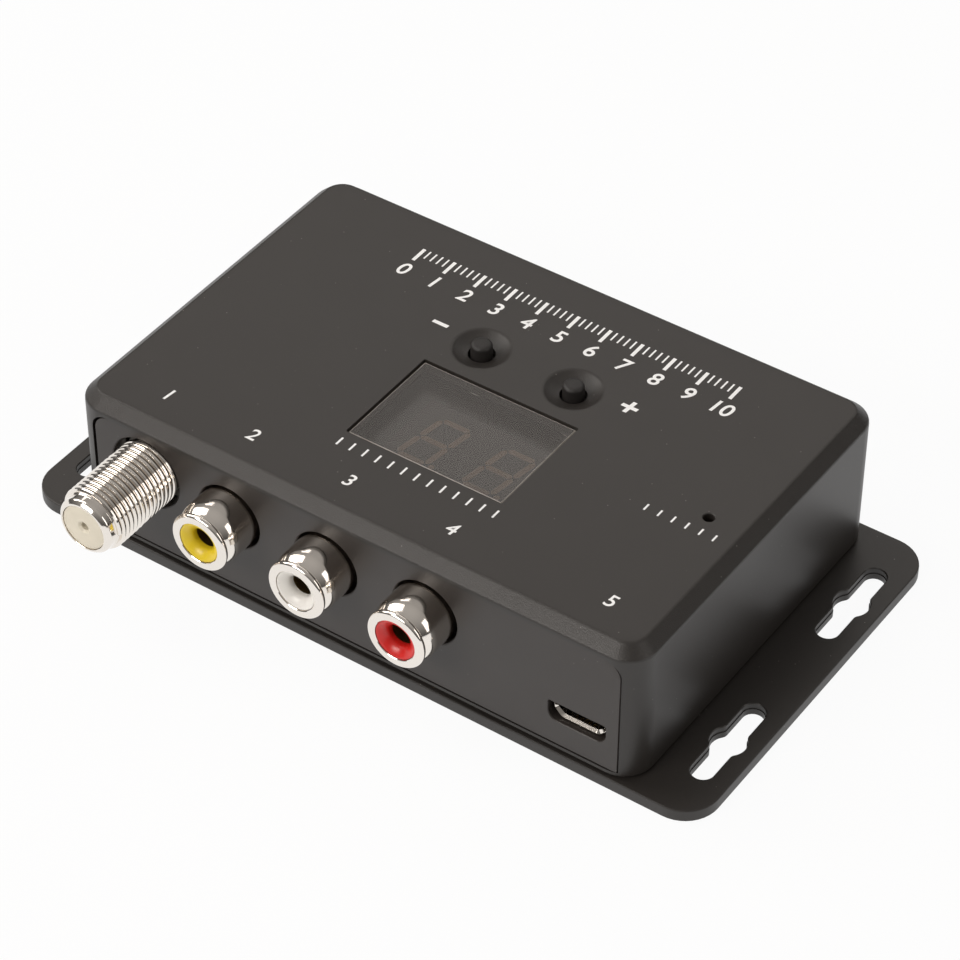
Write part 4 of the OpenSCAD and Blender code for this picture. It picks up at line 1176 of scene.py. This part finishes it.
@dataclass
class Jack:
    """One phono jack: block, metal shell with a beaded rim, tinted insulator; lengths in mm."""

    name: str
    tint: str
    x: float
    z: float = 14.35
    face: float = -34.8
    bead: float = 0.475
    rim: float = 4.3
    lip: float = 3.0
    lip_len: float = 0.6
    lip_edge: float = 0.08
    neck: float = 3.9
    wall: float = 0.4
    gap: float = 0.05
    waist: float = 3.85
    collar: float = 4.5
    collar_face: float = -31.9
    shell_back: float = -21.05
    block_front: float = -25.85
    block_back: float = -16.25
    block_half: float = 5.0
    block_low: float = 7.05
    block_high: float = 19.35
    sink: float = 0.15
    funnel: float = 2.75
    funnel_len: float = 1.3
    land: float = 0.4
    bore: float = 1.62
    contact_bore: float = 1.92
    contact_back: float = -18.25

    def shell(self) -> bpy.types.Object:
        """Builds the metal shell: beaded rim, waist and a barrel with a rounded shoulder.

        Returns:
            The solid.
        """
        inner, lip_y = self.neck - self.wall, self.face + self.lip_len
        rim_y, seat = self.face + 2 * self.bead, self.block_front - self.gap
        inside = [(inner, self.shell_back), (inner, lip_y), (self.lip, lip_y),
                  (self.lip, self.face + self.lip_edge), (self.lip + self.lip_edge, self.face)]
        bead = [(self.rim - self.bead * (1 - math.cos(a)),
                 self.face + self.bead * (1 - math.sin(a)))
                for a in (math.radians(90 - 10 * i) for i in range(16))]
        steps = 14
        shoulder = [(self.collar - (self.collar - self.waist) * (1 - i / steps) ** 2,
                     rim_y + (self.collar_face - rim_y) * i / steps) for i in range(steps + 1)]
        back = [(self.collar, seat), (self.neck, seat), (self.neck, self.shell_back)]
        return lathe(f"{self.name}_shell", inside + bead + shoulder + back, Plane.FRONT,
                     (self.x, self.z))

    def insulator(self) -> bpy.types.Object:
        """Builds the tinted insulator with its funnel.

        Returns:
            The solid.
        """
        lens = self.face + self.sink
        back, shoulder = lens + self.funnel_len + self.land, self.face + self.lip_len + self.gap
        outer, front, steps = self.neck - self.wall - self.gap, self.lip - self.gap, 10
        funnel = [(self.bore + (self.funnel - self.bore) * (1 - i / steps) ** 2,
                   lens + self.funnel_len * i / steps) for i in range(steps, 0, -1)]
        lip = soften([funnel[-1], (self.funnel, lens), (front, lens), (front, shoulder)],
                     [0, 0.1, 0.08, 0])
        profile = [(self.bore, back), *funnel[:-1], *lip, (outer, shoulder), (outer, back)]
        return lathe(f"{self.name}_plug", profile, Plane.FRONT, (self.x, self.z), 72)

    def block(self) -> bpy.types.Object:
        """Builds the block that holds the shell.

        Returns:
            The solid.
        """
        outline = Outline(self.x - self.block_half, self.x + self.block_half, self.block_low,
                          self.block_high, (0.3,) * 4, 3)
        body = prism(f"{self.name}_block", outline, Plane.FRONT,
                     [(0.0, self.block_front), (0.0, self.block_back)])
        wide = self.neck + self.gap
        room = bar("room", [(wide, self.block_front - PAST), (wide, self.shell_back),
                            (self.contact_bore, self.shell_back),
                            (self.contact_bore, self.contact_back)], Plane.FRONT, (self.x, self.z))
        return carve(body, [room])

    def build(self) -> None:
        """Builds and dresses the jack."""
        settle(self.block(), "jack_plastic", f"{self.name}_jack_block")
        settle(self.shell(), "nickel", f"{self.name}_jack_shell", angle=40)
        settle(self.insulator(), self.tint, f"{self.name}_jack_insulator", angle=40)


@dataclass
class MicroSocket:
    """Folded metal shell of the micro socket, narrow side down; lengths in mm."""

    x: float = 34.9
    floor: float = 7.05
    width: float = 7.5
    low_width: float = 5.4
    height: float = 2.5
    knee: float = 1.1
    wall: float = 0.28
    lip: float = 0.12
    lip_len: float = 0.38
    lip_faces: tuple[float, float, float] = (0.06, 0.03, 0.08)
    front: float = -27.7
    depth: float = 5.6
    bend: float = 0.45
    bend_min: float = 0.12

    def ring(self, inset: float, level: float) -> list[Vector]:
        """Gives the shell's outline with rounded folds.

        Args:
            inset: Distance inwards in mm.
            level: Place along Y in mm.

        Returns:
            The points in metres.
        """
        half, low = self.width / 2 - inset, self.low_width / 2 - inset
        high = self.height - inset
        corners = [(-low, inset), (low, inset), (half, self.knee), (half, high), (-half, high),
                   (-half, self.knee)]
        cut = max(self.bend - inset, self.bend_min)
        wrapped = [corners[-1]] + corners + [corners[0]]
        path = soften(wrapped, [cut] * len(wrapped), 5)[1:-1]
        return [Plane.FRONT.place(self.x + x, self.floor + z, level) for x, z in path]

    def build(self) -> None:
        """Builds and dresses the shell."""
        front, mouth, back = self.front, self.front + self.lip_len, self.front + self.depth
        round_y, outside, inside = self.lip_faces
        rows = ((0.0, back), (0.0, mouth), (-self.lip, front + round_y),
                (outside - self.lip, front), (inside - self.lip, front), (self.wall, mouth),
                (self.wall, back))
        sleeve = loft("micro_sleeve", [self.ring(*row) for row in rows], cyclic=True)
        settle(sleeve, "nickel", "micro_shell")


@dataclass(frozen=True)
class Ticks:
    """Row of ticks along X, placed by the centre of the first one; lengths in mm."""

    name: str
    at: Point2
    count: int
    pitch: float
    size: Point2


@dataclass(frozen=True)
class Mark:
    """Number or sign by its centre, height of type and growth of the strokes, in mm."""

    name: str
    text: str
    at: Point2
    size: float
    bold: float


@dataclass
class Prints:
    """Plain white marks on the roof: ticks, numerals, minus and plus; lengths in mm."""

    roof: float = ROOF
    sunk: float = 0.02
    proud: float = 0.02
    slant: float = 0.12
    scale_left: float = -23.0
    scale_step: float = 5.0
    scale_end: int = 10
    ports: tuple[Point2, ...] = ((-32.6, -22.4), (-18.9, -22.4), (-3.8, -22.4), (11.9, -22.4),
                                 (35.0, -21.9))

    def layout(self) -> dict[str, list[Ticks | Mark]]:
        """Lists what is printed.

        Returns:
            The marks of each piece.
        """
        left, step, end = self.scale_left, self.scale_step, self.scale_end
        scale = [Ticks("scale_major", (left, 19.7), end + 1, step, (0.5, 2.8))]
        scale += [Ticks(f"scale_minor_{i}", (left + 1.0 + step * i, 20.25), 4, 1.0, (0.24, 1.7))
                  for i in range(end)]
        scale += [Mark(f"scale_{i}", str(i), (left + step * i, 16.0), 3.4, 0.05)
                  for i in range(end + 1)]
        return {
            "print_scale": scale,
            "print_ports": [Mark(f"port_{i}", str(i + 1), at, 3.0, 0.03)
                            for i, at in enumerate(self.ports)],
            "print_signs": [Mark("sign_minus", "−", (-12.4, 9.2), 4.6, 0.1),
                            Mark("sign_plus", "+", (17.2, 9.3), 4.6, 0.1)],
            "print_rows": [Ticks("window_ticks", (-9.2, -17.0), 13, 2.0, (0.28, 1.5)),
                           Ticks("lamp_ticks", (29.4, -5.2), 6, 2.0, (0.26, 1.2))],
        }

    def row(self, group: NodeGroup, ticks: Ticks) -> bpy.types.Object:
        """Makes a row of ticks.

        Args:
            group: Tick group.
            ticks: The row.

        Returns:
            The row round the origin's level.
        """
        width, height = ticks.size
        return group.run(ticks.name, {
            "Count": ticks.count, "Pitch": ticks.pitch * MM, "Width": width * MM,
            "Height": height * MM, "Thickness": (self.sunk + self.proud) * MM,
            "Material": FINISHES["print_white"].material()})

    def sign(self, mark: Mark) -> bpy.types.Object:
        """Makes a number or a sign from the built-in type.

        Args:
            mark: The number or sign.

        Returns:
            The mark round the origin.
        """
        curve = bpy.data.curves.new(mark.name, "FONT")
        curve.body, curve.size = mark.text, mark.size * MM
        curve.align_x = curve.align_y = "CENTER"
        curve.shear, curve.offset = self.slant, mark.bold * MM
        curve.extrude = (self.sunk + self.proud) / 2 * MM
        source = bpy.data.objects.new(mark.name, curve)
        bpy.context.scene.collection.objects.link(source)
        mesh = evaluated(source)
        bpy.data.objects.remove(source)
        bm = bmesh.new()
        bm.from_mesh(mesh)
        bmesh.ops.remove_doubles(bm, verts=bm.verts, dist=MERGE)
        bmesh.ops.recalc_face_normals(bm, faces=bm.faces)
        bm.to_mesh(mesh)
        bm.free()
        return new_object(mark.name, mesh)

    def build(self) -> None:
        """Builds and dresses all marks."""
        group, middle = tick_group(), self.roof + (self.proud - self.sunk) / 2
        for name, items in self.layout().items():
            parts = []
            for item in items:
                part = self.row(group, item) if isinstance(item, Ticks) else self.sign(item)
                part.data.transform(Matrix.Translation(Vector((*item.at, middle)) * MM))
                parts.append(part)
            settle(join(name, parts), "print_white")


@dataclass(frozen=True)
class Camera:
    """Camera of the photo; place in mm, view as three unit rows."""

    place: Triple = (199.562, -288.268, 323.677)
    right: Triple = (0.821636, 0.570004, 0.002968)
    down: Triple = (0.38243, -0.54738, -0.744394)
    forward: Triple = (-0.422683, 0.612756, -0.667734)
    lens: float = 134.595
    sensor: float = 36.0
    near: float = 0.01
    far: float = 10.0

    def build(self) -> None:
        """Sets the scene's camera."""
        data = bpy.data.cameras.new("camera")
        data.lens, data.sensor_width, data.sensor_fit = self.lens, self.sensor, "HORIZONTAL"
        data.clip_start, data.clip_end = self.near, self.far
        data.dof.use_dof = False
        camera = bpy.data.objects.new("camera", data)
        bpy.context.scene.collection.objects.link(camera)
        rows = (self.right, [-v for v in self.down], [-v for v in self.forward])
        turn = Matrix(rows).transposed().to_4x4()
        camera.matrix_world = Matrix.Translation(Vector(self.place) * MM) @ turn
        bpy.context.scene.camera = camera


@dataclass(frozen=True)
class Softbox:
    """Area light that looks at a target; lengths in metres."""

    name: str
    place: Triple
    size: Point2
    power: float
    target: Triple = (0.0, 0.0, 0.01)
    colour: Triple = (1.0, 0.955, 0.91)

    def build(self) -> None:
        """Adds the light."""
        data = bpy.data.lights.new(self.name, "AREA")
        data.shape = "RECTANGLE"
        data.size, data.size_y = self.size
        data.energy, data.color = self.power, self.colour
        light = bpy.data.objects.new(self.name, data)
        bpy.context.scene.collection.objects.link(light)
        light.location = self.place
        light.rotation_mode = "QUATERNION"
        aim = Vector(self.target) - Vector(self.place)
        light.rotation_quaternion = aim.to_track_quat("-Z", "Y")


@dataclass
class Studio:
    """White floor, soft lights and world; lengths in metres."""

    floor_size: float = 3.0
    floor_drop: float = 0.00002
    floor_grey: float = 0.8
    floor_white: float = 0.94
    fill: float = 0.42
    fill_low: float = 0.06
    fill_colour: Triple = (1.0, 0.96, 0.92)
    lights: tuple[Softbox, ...] = (
        Softbox("key", (-0.75, -0.10, 0.75), (0.5, 0.9), 5.0),
        Softbox("back", (-0.30, 0.75, 0.70), (1.1, 0.25), 1.5),
        Softbox("side", (0.75, 0.1, 0.35), (0.35, 0.5), 1.0),
        Softbox("front", (-0.25, -0.8, 0.55), (0.6, 0.3), 5.0),
    )

    def floor(self) -> None:
        """Lays the floor, which cameras and reflections see nearly white."""
        half = self.floor_size / 2
        mesh = bpy.data.meshes.new("floor")
        mesh.from_pydata([(-half, -half, 0), (half, -half, 0), (half, half, 0), (-half, half, 0)],
                         [], [(0, 1, 2, 3)])
        plane = new_object("floor", mesh)
        plane.location.z = -self.floor_drop
        made = bpy.data.materials.new("floor")
        made.use_nodes = True
        tree = Tree(made.node_tree)
        path = tree.add("ShaderNodeLightPath").outputs
        seen = tree.math("MAXIMUM", path["Is Camera Ray"], path["Is Glossy Ray"])
        matt = tree.add("ShaderNodeBsdfDiffuse", Color=(*(self.floor_grey,) * 3, 1.0))
        glow = tree.add("ShaderNodeEmission")
        mixed = tree.add("ShaderNodeMixShader", tree.math("MULTIPLY", seen, self.floor_white),
                         matt.outputs[0], glow.outputs[0])
        tree.add("ShaderNodeOutputMaterial", Surface=mixed.outputs[0])
        mesh.materials.append(made)

    def world(self) -> None:
        """Fills the world softly, more from above, and shows it white to the camera."""
        world = bpy.data.worlds.new("studio")
        bpy.context.scene.world = world
        world.use_nodes = True
        tree = Tree(world.node_tree)
        sky = tree.add("ShaderNodeTexCoord").outputs["Generated"]
        height = tree.add("ShaderNodeSeparateXYZ", Vector=sky).outputs["Z"]
        rise = tree.add("ShaderNodeMapRange", Value=height, To_Min=self.fill_low,
                        To_Max=self.fill).outputs["Result"]
        soft = tree.add("ShaderNodeBackground", Color=(*self.fill_colour, 1.0), Strength=rise)
        white = tree.add("ShaderNodeBackground", Color=(1.0, 1.0, 1.0, 1.0))
        seen = tree.add("ShaderNodeLightPath").outputs["Is Camera Ray"]
        mixed = tree.add("ShaderNodeMixShader", seen, soft.outputs[0], white.outputs[0])
        tree.add("ShaderNodeOutputWorld", Surface=mixed.outputs[0])

    def build(self) -> None:
        """Sets up the floor, world and lights."""
        self.floor()
        self.world()
        for light in self.lights:
            light.build()


def dress_frame() -> None:
    """Gives every CAD node that still shows the finish of its record slot."""
    for row in frame["record"]["subparts"]:
        node = frame["nodes"][row["node"]]
        if not node.hide_render:
            coat(node, row["material_slot"])


def main() -> None:
    """Builds the scene in order."""
    logging.basicConfig(level=logging.INFO, format="%(message)s")
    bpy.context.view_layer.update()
    Camera().build()
    for piece in (Shell(), Plate(), Panel(), Window(),
                  Key("down_cap", "channel_down_button", Body.DOWN_KEY, BUTTONS[0]),
                  Key("up_cap", "channel_up_button", Body.UP_KEY, BUTTONS[1]),
                  Coax(), *(Jack(*row) for row in JACKS), MicroSocket(), Prints()):
        piece.build()
    dress_frame()
    Studio().build()
    bpy.context.scene.view_settings.view_transform = "Standard"


if __name__ == "__main__":
    main()
